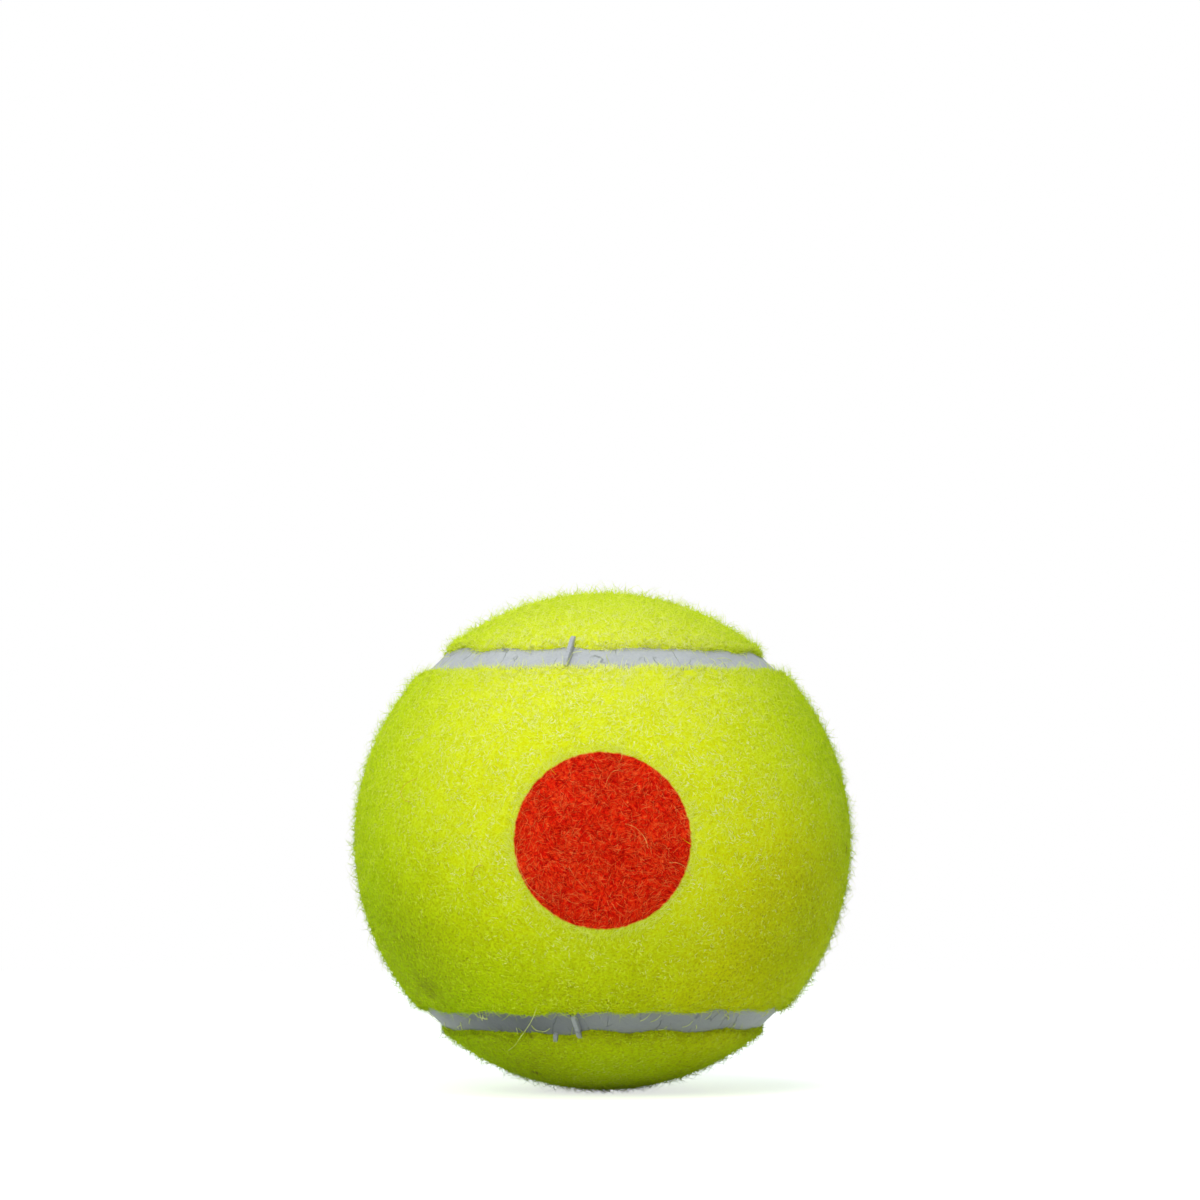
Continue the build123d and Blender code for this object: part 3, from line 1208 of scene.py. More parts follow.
@dataclass
class FeltPanel:
    """A felt panel: a matted ground in the shape of its solid, and the nap that stands on it."""

    side: PanelSide
    seam: SeamLine
    pile_radius: float
    # Patches of play and painted light, of soil and painted shade, and of fading and painted light
    worn_and_lit: tuple[Patch, ...]
    soiled_and_shaded: tuple[Patch, ...]
    faded_and_lit: tuple[Patch, ...]
    lower_edge: PanelEdge
    upper_edge: PanelEdge
    bed_radius: float = 30.0 * MM  # where the pile stands on its backing
    edge_change: tuple[float, float] = (-0.2, 0.5)  # heights, in radii, between the lower and the upper edge
    ground_depth: float = 0.4 * MM  # of the ground under the tips of the nap
    bare_radius: float = 0.0  # round the middle, where another nap grows
    still_width: float = 2.4 * MM  # over which the relief fades towards there
    rim_soil: float = 0.0
    rim_fray: float = 1.2  # by which more strands grow on the rim
    clump_size: float = 1.6 * MM
    clump_height: float = 0.15 * MM
    pit_size: float = 0.7 * MM
    pit_depth: float = 0.15 * MM
    rim_size: float = 1.1 * MM
    rim_stray: float = 0.7 * MM
    evenness: float = 0.5  # by which the ground takes the light as the ball's surface does
    waver: float = 0.22 * MM  # by which the edge strays
    waves: tuple[int, int] = (12, 48)  # fewest and most along the edge
    wave_kinds: int = 8  # laid over each other
    waver_rows: int = 8  # over which the straying fades
    cut_back: float = 0.7 * MM  # by which the upper cap was cut short at its left end
    cut_start: tuple[float, float] = (math.radians(35.0), math.radians(62.0))  # to the left of -Y
    cut_end: tuple[float, float] = (math.radians(85.0), math.radians(105.0))
    seed: int = 3
    belt_steps: int = 190
    lobe_steps: int = 136
    skin_rows: int = 52
    shoulder_rows: int = 9
    frayed_rows: int = 5  # of the shoulder, on which nap grows
    smooth_rows: int = 2  # of the shoulder, over the fringe
    rim_rows: tuple[int, int] = (6, 2)  # of the skin and of the shoulder, over which the rim begins
    rim_tail: int = 2  # rows of the rim past the shoulder
    wall_rows: int = 3
    inner_rows: int = 12
    pieces: list[bpy.types.Object] = field(default_factory=list)

    WELD_DIGITS = 8  # decimals of a metre to which two points have to agree to become one

    # On the panel's map: half its length, then the middle and half the width of the skin and of the inside
    MAP_LENGTH = 0.48
    MAP_SKIN = (0.32, 0.30)
    MAP_INSIDE = (0.82, 0.16)

    def profile(self, end: PanelEdge) -> tuple[np.ndarray, np.ndarray]:
        """Work out the rows of the panel's section, from its middle over the shoulder to the inside.

        Args:
            end: How the panel ends there.

        Returns:
            Each row's angle from the panel's middle line, and its radius.
        """
        outer, wall, roll = self.pile_radius - self.ground_depth, end.gap, end.roll
        across = wall + roll
        upward = math.sqrt((outer - roll) ** 2 - across**2)
        touch = math.atan2(across, upward)
        reach = self.seam.half_angle(self.side)
        skin = np.linspace(0.0, reach - touch, self.skin_rows)
        bow = np.linspace(touch, -math.pi / 2, self.shoulder_rows + 1)[1:]
        bow_up, bow_across = upward + roll * np.cos(bow), across + roll * np.sin(bow)
        foot = math.sqrt(self.bed_radius**2 - wall**2)
        wall_up = np.linspace(upward, foot, self.wall_rows + 1)[1:]
        up = np.concatenate([bow_up, wall_up])
        side = np.concatenate([bow_across, np.full(self.wall_rows, wall)])
        edge = reach - math.atan2(wall, foot)
        inside = np.linspace(edge, 0.0, self.inner_rows + 1)[1:]
        angle = np.concatenate([skin, reach - np.arctan2(side, up), inside])
        on_skin, on_bed = np.full(skin.size, outer), np.full(inside.size, self.bed_radius)
        return angle, np.concatenate([on_skin, np.hypot(side, up), on_bed])

    def shell(self, name: str, rows: int | None = None, bare_rows: int = 0) -> bpy.types.Mesh:
        """Build the panel's mesh, or only its first rows.

        Args:
            name: The mesh's name.
            rows: How many rows, or all of them for a closed shell.
            bare_rows: How many of them grow nothing.

        Returns:
            The mesh, with the values that its trees read.
        """
        columns = self.seam.columns(self.belt_steps, self.lobe_steps)
        ends = (self.lower_edge, self.upper_edge)
        lower, upper = (np.stack(self.profile(end))[:, :rows, None] for end in ends)
        height = self.seam.directions(columns, self.seam.half_angle(self.side), self.side)[:, 2]
        angle, radius = lower + (upper - lower) * smooth_step(height, *self.edge_change)
        ways = self.seam.directions(columns, angle + self._waver(columns)[:rows], self.side)
        points = (ways * radius[:, :, None]).reshape(-1, 3)
        count, steps = angle.shape
        rounded = np.round(points, self.WELD_DIGITS)
        _, first, place = np.unique(rounded, axis=0, return_index=True, return_inverse=True)
        place = place.reshape(count, steps)
        corners = [
            ((row, step), (row, (step + 1) % steps), (row + 1, (step + 1) % steps), (row + 1, step))
            for row in range(count - 1)
            for step in range(steps)
        ]
        faces, kept = [], []
        for quad in corners:
            spots: dict[int, tuple[int, int]] = {}
            for spot in quad:
                spots.setdefault(int(place[spot]), spot)
            if len(spots) > 2:
                faces.append(tuple(spots))
                kept.extend(spots.values())
        mesh = plain_mesh(name, points[first], faces)
        self._put_values(mesh, points[first], np.repeat(np.arange(count), steps)[first], bare_rows)
        self._put_map(mesh, np.array(kept), lower[0, :, 0], lower[1, :, 0], columns)
        return mesh

    def _waver(self, columns: np.ndarray) -> np.ndarray:
        """Work out by what angle the panel's edge strays: in waves, and cut back at one end.

        Args:
            columns: Steps round the loop.

        Returns:
            The angles, by row and column, which die away before the panel's middle.
        """
        angle, _ = self.profile(self.lower_edge)
        rows = np.arange(angle.size)
        near = smooth_step(rows, self.skin_rows - self.waver_rows, self.skin_rows)
        inside = self.skin_rows + self.shoulder_rows + self.wall_rows
        near = near * (1.0 - smooth_step(rows, inside, angle.size - 1))
        chance = np.random.default_rng(self.seed + len(self.side.value))
        turn = np.arange(len(columns)) / len(columns) * 2 * math.pi
        counts = chance.integers(*self.waves, self.wave_kinds)
        waves = [np.sin(count * turn + chance.uniform(0, 2 * math.pi)) for count in counts]
        stray = np.sum(waves, axis=0) / math.sqrt(len(waves)) * self.waver / self.pile_radius
        edge = self.seam.directions(columns, angle[self.skin_rows], self.side)
        longitude = np.arctan2(edge[:, 0], -edge[:, 1])
        ends = smooth_step(-longitude, *self.cut_start) * (1.0 - smooth_step(-longitude, *self.cut_end))
        stray -= ends * (edge[:, 2] > 0) * (self.side is PanelSide.BACK) * self.cut_back / self.pile_radius
        return near[:, None] * stray

    def _put_values(self, mesh: bpy.types.Mesh, points: np.ndarray, row: np.ndarray, bare_rows: int) -> None:
        """Store what the trees read: the skin, the rim, where nap grows, and the patches of play, soil,
        fading and painted light and shade.

        Args:
            mesh: The mesh.
            points: Its points.
            row: The row that each point is in.
            bare_rows: How many rows grow nothing.
        """
        skin_end = self.skin_rows + self.shoulder_rows
        skin = (row < skin_end).astype(float)
        first, last = self.skin_rows - self.rim_rows[0], self.skin_rows + self.rim_rows[1]
        rim = smooth_step(row.astype(float), first, last) * (row < skin_end + self.rim_tail)
        off_axis = np.hypot(points[:, 0], points[:, 2])
        bare = (off_axis < self.bare_radius) & (points[:, 1] < 0) | (row < bare_rows)
        still = smooth_step(off_axis, self.bare_radius - self.still_width, self.bare_radius)
        still = np.clip(still + (points[:, 1] > 0), 0.0, 1.0)
        dirt = self.rim_soil * rim * (points[:, 2] < 0) + patches_share(self.soiled_and_shaded, points)
        put_values(
            mesh,
            skin=skin * still,
            rim=rim,
            nap=skin * ~bare * (1.0 + self.rim_fray * rim),
            wear=np.clip(patches_share(self.worn_and_lit, points), -1.0, 1.0),
            dirt=np.clip(dirt, 0.0, 1.0),
            fade=np.clip(patches_share(self.faded_and_lit, points), 0.0, 1.0),
        )

    def _put_map(
        self, mesh: bpy.types.Mesh, spots: np.ndarray, angle: np.ndarray, radius: np.ndarray,
        columns: np.ndarray,
    ) -> None:
        """Unroll the panel on its map: the skin on one island, the inside on another.

        Args:
            mesh: The mesh.
            spots: The row and column of each corner of each face.
            angle: The rows' angles from the middle line.
            radius: The rows' radii.
            columns: Steps round the loop.
        """
        steps = np.hypot(np.diff(angle) * radius[:-1], np.diff(radius)) / self.pile_radius
        reach = np.concatenate([[0.0], np.cumsum(steps)])
        turn = self.skin_rows + self.shoulder_rows + self.wall_rows
        row, step = spots[:, 0], spots[:, 1]
        face_of = np.repeat(np.arange(len(mesh.polygons)), [p.loop_total for p in mesh.polygons])
        lowest = np.full(len(mesh.polygons), reach.size)
        np.minimum.at(lowest, face_of, row)
        inside = lowest[face_of] >= turn - 1
        outward = np.where(inside, angle[row], reach[row])
        along = columns[step, 4] + np.sign(columns[step, 0]) * columns[step, 2] * outward
        across = columns[step, 3] * outward
        widest = reach[min(turn, reach.size) - 1]
        u = 0.5 + self.MAP_LENGTH * along / (math.pi / 2 + widest)
        (skin_middle, skin_half), (inside_middle, inside_half) = self.MAP_SKIN, self.MAP_INSIDE
        on_skin = skin_middle + skin_half * across / widest
        v = np.where(inside, inside_middle + inside_half * across / angle.max(), on_skin)
        layer = mesh.uv_layers.new(name=BAKE_MAP)
        layer.data.foreach_set("uv", np.stack([u, v], 1).astype(np.float32).ravel())

    def flat_size(self) -> tuple[tuple[float, float], float]:
        """Work out what the panel was cut to, at the middle of its pile.

        Returns:
            Its width and length, and its area.
        """
        radius = (self.pile_radius + self.bed_radius) / 2
        reach = self.seam.half_angle(self.side) - self.lower_edge.gap / radius
        width, length = 2 * reach * radius, (math.pi + 2 * reach) * radius
        area = 2 * math.pi * radius**2 * (math.sin(reach) + 1 - math.cos(reach))
        return (width, length), area

    def build(
        self, ground: GroundTree, nap: NapTree, growths: list[Nap], ground_material: bpy.types.Material,
        nap_material: bpy.types.Material,
    ) -> None:
        """Build the ground and its nap.

        Args:
            ground: The tree that mats the ground.
            nap: The tree that grows strands.
            growths: The growths of strands.
            ground_material: The ground's material.
            nap_material: The strands' material.
        """
        name = f"felt_ground_{self.side.value}"
        felt = ground.run(name, self.shell(name), self, ground_material)
        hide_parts(f"felt_panel_{self.side.value}")
        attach(felt, BODY)
        hosts = {
            False: self.shell(f"{name}_host", self.skin_rows + self.frayed_rows),
            True: self.shell(
                f"{name}_edge", self.skin_rows + self.shoulder_rows, self.skin_rows + self.smooth_rows
            ),
        }
        strands = [growth.grow(nap, hosts[growth.at_edge], nap_material) for growth in growths]
        for piece in strands:
            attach(piece, BODY)
        for host in hosts.values():
            bpy.data.meshes.remove(host)
        flat, area = self.flat_size()
        self.pieces = [felt, *strands]


@dataclass
class StageMark:
    """The printed disc in the middle of the front panel, and the nap in and just round it."""

    radius: float
    pile_radius: float
    # Patches of fading and painted light
    faded_and_lit: tuple[Patch, ...]
    depth: float = 0.6 * MM
    ground_depth: float = 0.36 * MM
    fringe: float = 0.9 * MM  # of bare nap round the disc that grows with it
    fringe_overlap: float = 0.5 * MM  # of that with the panel's own nap
    print_share: float = 2.4  # the map's width, in radii of disc and fringe
    seed: int = 71
    rings: int = 30
    spokes: int = 120
    pieces: list[bpy.types.Object] = field(default_factory=list)

    def cap(self, name: str, reach: float, radius: float, rim: bool) -> bpy.types.Mesh:
        """Build a round cap of the ball about -Y.

        Args:
            name: The mesh's name.
            reach: The cap's radius, seen from the front.
            radius: The ball's radius there.
            rim: Whether a wall and an inner face close it.

        Returns:
            The mesh.
        """
        turn = np.arange(self.spokes) / self.spokes * 2 * math.pi
        share = np.arange(1, self.rings + 1) / self.rings
        layers = [(share * reach, radius)]
        if rim:
            layers.append((share[::-1] * reach, radius - self.depth))
        points = [np.array([[0.0, -radius, 0.0]])]
        for reaches, ball in layers:
            for off_axis in reaches:
                ahead = -math.sqrt(ball**2 - off_axis**2)
                x, z = off_axis * np.cos(turn), off_axis * np.sin(turn)
                points.append(np.stack([x, np.full_like(turn, ahead), z], 1))
        rings = len(points) - 1
        spots = [[1 + ring * self.spokes + spoke for spoke in range(self.spokes)] for ring in range(rings)]
        following = [(spoke + 1) % self.spokes for spoke in range(self.spokes)]
        faces: list[tuple[int, ...]] = [(0, spots[0][s], spots[0][following[s]]) for s in range(self.spokes)]
        for ring in range(rings - 1):
            near, far = spots[ring], spots[ring + 1]
            faces += [(near[s], far[s], far[following[s]], near[following[s]]) for s in range(self.spokes)]
        if rim:
            points.append(np.array([[0.0, self.depth - radius, 0.0]]))
            last, end = spots[-1], 1 + rings * self.spokes
            faces += [(last[s], end, last[following[s]]) for s in range(self.spokes)]
        mesh = plain_mesh(name, np.concatenate(points), faces)
        none = np.zeros(len(mesh.vertices))
        fade = np.clip(patches_share(self.faded_and_lit, np.concatenate(points)), 0.0, 1.0)
        put_values(mesh, nap=none + 1.0, wear=none, dirt=none, fade=fade)
        return mesh

    @property
    def bare_radius(self) -> float:
        """Tell how far from the middle the panel grows no nap of its own."""
        return self.radius + self.fringe - self.fringe_overlap

    def build(self, nap: NapTree) -> None:
        """Build the disc and its nap.

        Args:
            nap: The tree that grows strands.
        """
        reach, ground_radius = self.radius + self.fringe, self.pile_radius - self.ground_depth
        growth = CombedNap("stage_mark_nap", self.seed, print_span=self.print_share * reach)
        ground = InkFinish("inked ground", self.radius, False, INK, FRESH_WOOL, FADED_AND_LIT_WOOL).material()
        material = InkFinish("inked nap", self.radius, True, INK, FRESH_WOOL, FADED_AND_LIT_WOOL).material()
        name = "stage_mark_disc"
        disc = bpy.data.objects.new(name, self.cap(name, self.radius, ground_radius, True))
        bpy.context.scene.collection.objects.link(disc)
        disc.data.materials.append(ground)
        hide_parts("stage_mark")
        host = self.cap("stage_mark_host", reach, ground_radius, False)
        strands = growth.grow(nap, host, material)
        bpy.data.meshes.remove(host)
        self.pieces = [disc, strands]
        for piece in self.pieces:
            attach(piece, BODY)


@dataclass
class SeamStrip:
    """The seam's rubber and the flash that the mould left across it."""

    line: SeamLine
    # Patches of painted shadow
    soiled_and_shaded: tuple[Patch, ...]
    surface_radius: float = 32.1 * MM
    width: float = 5.6 * MM
    height: float = 1.6 * MM
    corner: float = 0.25 * MM
    dish: float = 0.15 * MM
    step: float = 0.45 * MM
    wave_size: float = 1.4 * MM
    wave_height: float = 0.16 * MM
    drift_size: float = 9.0 * MM
    drift: float = 0.35 * MM
    belt_steps: int = 190
    lobe_steps: int = 136

    def build(self, tree: SeamTree, material: bpy.types.Material) -> bpy.types.Object:
        """Build the strip.

        Args:
            tree: The tree that sweeps it.
            material: Its rubber.

        Returns:
            The piece.
        """
        middle = self.surface_radius - self.height / 2
        columns = self.line.columns(self.belt_steps, self.lobe_steps)
        ways = self.line.directions(columns, self.line.latitude, PanelSide.FRONT)
        path = bpy.data.meshes.new("seam_path")
        count = len(columns)
        path.from_pydata((ways * middle).tolist(), [(i, (i + 1) % count) for i in range(count)], [])
        put_values(path, dirt=patches_share(self.soiled_and_shaded, ways))
        strip = tree.run("seam_strip", path, self, material)
        bpy.data.meshes.remove(path)
        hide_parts("seam_rubber")
        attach(strip, BODY)
        return strip


@dataclass
class FlashRib:
    """A rib of flash that stands across the seam where the mould parted."""

    name: str
    seam_radius: float
    latitude: float = math.radians(47.9)
    longitude: float = math.radians(-10.9)  # from -Y
    lean: float = math.radians(4.0)  # by which it is turned from straight across
    length: float = 5.6 * MM
    thickness: float = 0.6 * MM
    height: float = 1.15 * MM
    root: float = 0.7 * MM  # under the seam's surface
    wobble: float = 0.03  # share of the thickness by which it strays from each step to the next
    notches: tuple[float, float] = (0.85, 1.0)  # lowest and highest share of the height along its crest
    end_drop: float = 0.3  # share of its rise that it loses at its ends
    end_taper: float = 0.15
    end_power: int = 6  # by which both keep to the ends
    steps: int = 28
    # Share of the seam's dust-and-shadow colour: more on the lower seam, as its painted shadow
    dust_and_shadow: float = 0.1
    seed: int = 5

    # The section's outline, as shares of half the thickness and of the height over the root
    SECTION_SHARES = ((-1.0, 0.0), (-1.0, 0.9), (-0.8, 1.0), (0.75, 0.97), (1.0, 0.85), (1.0, 0.0))

    def build(self, material: bpy.types.Material) -> bpy.types.Object:
        """Build the rib.

        Args:
            material: Its rubber.

        Returns:
            The piece.
        """
        outward = way_to(self.longitude, self.latitude)
        along = np.array([math.cos(self.longitude), math.sin(self.longitude), 0.0])
        across = np.cross(outward, along)
        across, along = (
            across * math.cos(self.lean) + along * math.sin(self.lean),
            along * math.cos(self.lean) - across * math.sin(self.lean),
        )
        chance = np.random.default_rng(self.seed)
        wobble = np.cumsum(chance.normal(0.0, self.wobble * self.thickness, self.steps))
        notch = chance.uniform(*self.notches, self.steps)
        points = []
        for step in range(self.steps):
            share = 2.0 * step / (self.steps - 1) - 1.0
            way = outward + across * share * self.length / 2 / self.seam_radius
            way /= np.linalg.norm(way)
            ending = abs(share) ** self.end_power
            rise = (self.root + self.height * notch[step]) * (1.0 - self.end_drop * ending)
            slim = 1.0 - self.end_taper * ending
            for side, up in self.SECTION_SHARES:
                offset = along * (side * slim * self.thickness / 2 + wobble[step])
                points.append(way * (self.seam_radius - self.root + up * rise) + offset)
        corners = len(self.SECTION_SHARES)
        faces: list[tuple[int, ...]] = [
            (row + c, row + (c + 1) % corners, row + corners + (c + 1) % corners, row + corners + c)
            for row in range(0, (self.steps - 1) * corners, corners)
            for c in range(corners)
        ]
        last = (self.steps - 1) * corners
        faces += [tuple(range(corners))[::-1], tuple(range(last, last + corners))]
        mesh = plain_mesh(self.name, np.array(points), faces)
        put_values(mesh, across=np.zeros(len(points)), dirt=np.full(len(points), self.dust_and_shadow))
        course = mesh.attributes.new("course", "FLOAT_VECTOR", "POINT")
        course.data.foreach_set("vector", np.array(points, np.float32).ravel())
        mesh.materials.append(material)
        rib = bpy.data.objects.new(self.name, mesh)
        bpy.context.scene.collection.objects.link(rib)
        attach(rib, BODY)
        return rib


@dataclass
class LowerFlashRib(FlashRib):
    """The rib on the lower seam, shorter and not as high."""

    latitude: float = math.radians(-46.8)
    longitude: float = math.radians(-8.2)
    lean: float = math.radians(-8.0)
    length: float = 4.2 * MM
    height: float = 0.8 * MM
    # Darker, in the painted shadow of the lower seam
    dust_and_shadow: float = 0.4
    seed: int = 8


@dataclass
class FlashTab(FlashRib):
    """A scrap of flash at the lower edge of the lower seam."""

    latitude: float = math.radians(-50.6)
    longitude: float = math.radians(-16.9)
    lean: float = math.radians(10.0)
    length: float = 1.2 * MM
    height: float = 0.7 * MM
    # Darker, in the painted shadow of the lower seam
    dust_and_shadow: float = 0.5
    steps: int = 8
    seed: int = 12


@dataclass
class LooseFibres:
    """Fibres that have come loose and cling to the ball."""

    name: str
    slot: str
    lines: list[np.ndarray] = field(default_factory=list)
    thickness: float = 0.07 * MM
    step: float = 0.2 * MM
    rise: float = 0.25 * MM  # of a fibre's middle over its ends
    lint_length: tuple[float, float] = (0.8 * MM, 2.4 * MM)
    lint_spread: float = 1.5 * MM  # of lint to each side of the seam's middle
    lint_bow: float = 0.25  # by which its fibres bend
    belt_steps: int = 400
    lobe_steps: int = 300
    pace: float = 190.0  # steps for each radian of a fibre
    seed: int = 91

    # Places along a fibre of lint, as shares of its length from its middle
    LINT_PLACES = (-0.5, -0.15, 0.15, 0.5)

    def lay(self, radius: float, course: tuple[tuple[float, float], ...]) -> None:
        """Lay one fibre on the ball.

        Args:
            radius: The radius that its ends lie at.
            course: The longitudes and latitudes that it passes, in degrees.
        """
        self._raise(way_to(*np.radians(np.array(course)).T), radius)

    def _raise(self, ways: np.ndarray, radius: float) -> None:
        """Add one fibre along some directions, raised in its middle."""
        rise = self.rise * np.sin(np.linspace(0.0, math.pi, len(ways)))
        self.lines.append(ways * (radius + rise)[:, None])

    def strew(self, seam: SeamLine, radius: float, count: int) -> None:
        """Strew lint along the seam.

        Args:
            seam: The seam's line.
            radius: The radius of the seam's surface.
            count: How many fibres.
        """
        chance = np.random.default_rng(self.seed)
        columns = seam.columns(self.belt_steps, self.lobe_steps)
        shares = np.array(self.LINT_PLACES)
        each = range(len(shares))
        for _ in range(count):
            place = chance.integers(len(columns))
            length = chance.uniform(*self.lint_length) / radius
            middle = seam.latitude + chance.uniform(-1.0, 1.0) * self.lint_spread / radius
            slant, bow = chance.uniform(0.0, math.pi), chance.normal(0.0, self.lint_bow)
            bend = bow * (shares[-1] ** 2 - shares**2)
            angles = middle + length * (shares * math.sin(slant) + bend * math.cos(slant))
            steps = length * (shares * math.cos(slant) - bend * math.sin(slant))
            spots = (place + np.round(steps * self.pace)).astype(int) % len(columns)
            self._raise(seam.directions(columns[spots], angles[:, None], PanelSide.FRONT)[each, each], radius)

    def build(self, tree: FibreTree, material: bpy.types.Material) -> bpy.types.Object:
        """Build the fibres.

        Args:
            tree: The tree that sweeps them.
            material: Their material.

        Returns:
            The piece.
        """
        starts = np.cumsum([0] + [len(line) for line in self.lines])
        edges = [(spot, spot + 1) for start, end in zip(starts, starts[1:]) for spot in range(start, end - 1)]
        host = bpy.data.meshes.new(f"{self.name}_lines")
        host.from_pydata(np.concatenate(self.lines).tolist(), edges, [])
        fibres = tree.run(self.name, host, self, material)
        bpy.data.meshes.remove(host)
        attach(fibres, BODY)
        return fibres


@dataclass
class HiddenLayers:
    """The core, its glue and cement, and the woven backings: solids that keep their shape."""

    backing_radius: float = 30.0 * MM

    def dress(self) -> list[str]:
        """Give each layer its material.

        Returns:
            The names of the dressed nodes.
        """
        rubber = MouldedFinish("core rubber", (0.016, 0.016, 0.018), (0.05, 0.05, 0.052), roughness=0.62)
        glue = MouldedFinish("joint glue", (0.30, 0.17, 0.05), (0.52, 0.34, 0.13), roughness=0.35)
        cement = MouldedFinish("rubber cement", (0.46, 0.36, 0.20), (0.66, 0.56, 0.38), roughness=0.45)
        core, ring, coat = rubber.material(), glue.material(), cement.material()
        finishes = {
            "core_half_upper": core,
            "core_half_lower": core,
            "core_joint_ring": ring,
            "core_cement_coat": coat,
            "felt_backing_front": WeaveFinish(PanelSide.FRONT, self.backing_radius).material(),
            "felt_backing_back": WeaveFinish(PanelSide.BACK, self.backing_radius).material(),
        }
        for node, material in finishes.items():
            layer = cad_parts[node]
            layer.data.materials.clear()
            layer.data.materials.append(material)
        return list(finishes)


@dataclass(frozen=True)
class Lamp:
    """A round soft lamp that points at the ball."""

    name: str
    place: tuple[float, float, float]
    size: float
    power: float  # watts
    colour: Colour

    def hang(self) -> None:
        """Hang the lamp."""
        light = bpy.data.lights.new(self.name, "AREA")
        light.shape = "DISK"
        light.size = self.size
        light.energy = self.power
        light.color = self.colour
        lamp = bpy.data.objects.new(self.name, light)
        lamp.location = self.place
        lamp.rotation_euler = (-Vector(self.place)).to_track_quat("-Z", "Y").to_euler()
        bpy.context.scene.collection.objects.link(lamp)


@dataclass
class Studio:
    """A white table in a dim white room, three soft lamps and the camera."""

    floor_height: float
    image_width: float = 1200.0  # pixels
    ball_middle: tuple[float, float] = (602.5, 840.5)  # pixels from the image's upper left corner
    ball_outline: float = 250.0  # pixels, radius
    ball_radius: float = 33.0 * MM
    camera_distance: float = 0.55
    sensor: float = 36.0
    floor_size: float = 1.0
    floor_glow: float = 0.7  # by which the table looks brighter than it is
    ambient: float = 0.28
    ambient_tint: Colour = (0.80, 1.0, 1.0)
    floor_colour: Colour = (0.90, 0.93, 0.90)
    floor_roughness: float = 0.9
    nearest: float = 0.01  # that the camera sees
    key: Lamp = Lamp("key", (-0.28, -0.80, 0.42), size=0.55, power=2.75, colour=(0.97, 1.0, 0.94))
    overhead: Lamp = Lamp("overhead", (0.0, -0.48, 0.84), size=0.60, power=4.2, colour=(0.95, 1.0, 0.97))
    rim: Lamp = Lamp("rim", (-0.45, 0.25, 0.80), size=0.60, power=0.8, colour=(0.95, 1.0, 1.0))

    def build(self) -> None:
        """Build floor, world, lamps and camera."""
        bpy.context.scene.view_settings.view_transform = "Standard"
        self._floor()
        self._world()
        for lamp in (self.key, self.overhead, self.rim):
            lamp.hang()
        self._camera()

    def _shown_directly(self, wiring: Wiring) -> Socket:
        """Tell whether a ray shows the background itself: from the camera, a reflection or through glass."""
        path = wiring.node("ShaderNodeLightPath").outputs
        shown = wiring.math("MAXIMUM", path["Is Camera Ray"], path["Is Glossy Ray"])
        return wiring.math("MAXIMUM", shown, path["Is Transmission Ray"])

    def _floor(self) -> None:
        """Lay the table, as white to look at as the room but for the shadow under the ball."""
        half = self.floor_size / 2
        flat = ((-half, -half), (half, -half), (half, half), (-half, half))
        corners = np.array([(x, y, self.floor_height) for x, y in flat])
        floor = bpy.data.objects.new("table_top", plain_mesh("table_top", corners, [(0, 1, 2, 3)]))
        bpy.context.scene.collection.objects.link(floor)
        colour = (*self.floor_colour, 1.0)
        surface = Surface(
            "white table", base_color=colour, roughness=self.floor_roughness, specular_ior_level=0.0
        )
        wiring = surface.wiring
        strength = wiring.math("MULTIPLY", self._shown_directly(wiring), self.floor_glow)
        glow = wiring.out("ShaderNodeEmission", {"Strength": strength})
        lit = wiring.out("ShaderNodeAddShader", {0: surface.shader.outputs["BSDF"], 1: glow})
        wiring.tree.links.new(lit, wiring.tree.nodes["Material Output"].inputs["Surface"])
        floor.data.materials.append(surface.material)

    def _world(self) -> None:
        """Make the room white to look at and dim as a light."""
        world = bpy.data.worlds.new("studio")
        bpy.context.scene.world = world
        world.use_nodes = True
        wiring = Wiring(world.node_tree)
        background = world.node_tree.nodes["Background"]
        shown = self._shown_directly(wiring)
        strength = wiring.remap(shown, 0.0, 1.0, self.ambient, 1.0)
        colour = wiring.mix(shown, self.ambient_tint, (1.0, 1.0, 1.0))
        world.node_tree.links.new(colour, background.inputs["Color"])
        world.node_tree.links.new(strength, background.inputs["Strength"])

    def _camera(self) -> None:
        """Set the camera level with the ball, turned so that the ball lies where the photograph has it."""
        spread = math.tan(math.asin(self.ball_radius / self.camera_distance))
        focal = self.ball_outline / spread
        right = self.ball_middle[0] - self.image_width / 2
        down = self.ball_middle[1] - self.image_width / 2
        data = bpy.data.cameras.new("camera")
        data.sensor_width = self.sensor
        data.lens = focal / self.image_width * self.sensor
        data.clip_start = self.nearest
        camera = bpy.data.objects.new("camera", data)
        camera.location = (0.0, -self.camera_distance, 0.0)
        camera.rotation_euler = (math.pi / 2 + math.atan(down / focal), 0.0, math.atan(right / focal))
        bpy.context.scene.collection.objects.link(camera)
        bpy.context.scene.camera = camera


def panel_growths(side: PanelSide, first_seed: int) -> list[Nap]:
    """List the growths of one panel: two of lying strands, one of standing strands, hairs and a fringe.

    Args:
        side: The panel.
        first_seed: The seed before the first growth's.

    Returns:
        The growths.
    """
    return [
        Nap(f"felt_nap_{side.value}_1", first_seed + 1),
        Nap(f"felt_nap_{side.value}_2", first_seed + 2),
        StandingNap(f"felt_nap_{side.value}_3", first_seed + 3),
        LooseHairs(f"felt_hairs_{side.value}", first_seed + 4),
        Fringe(f"felt_fringe_{side.value}", first_seed + 5),
    ]


# The front panel's edge, and the back panel's at the lower seam and at the upper one
ROLLED = PanelEdge(2.4 * MM, 1.03 * MM)
CUT = PanelEdge(0.8 * MM, 1.66 * MM)
EASED = PanelEdge(1.6 * MM, 1.28 * MM)
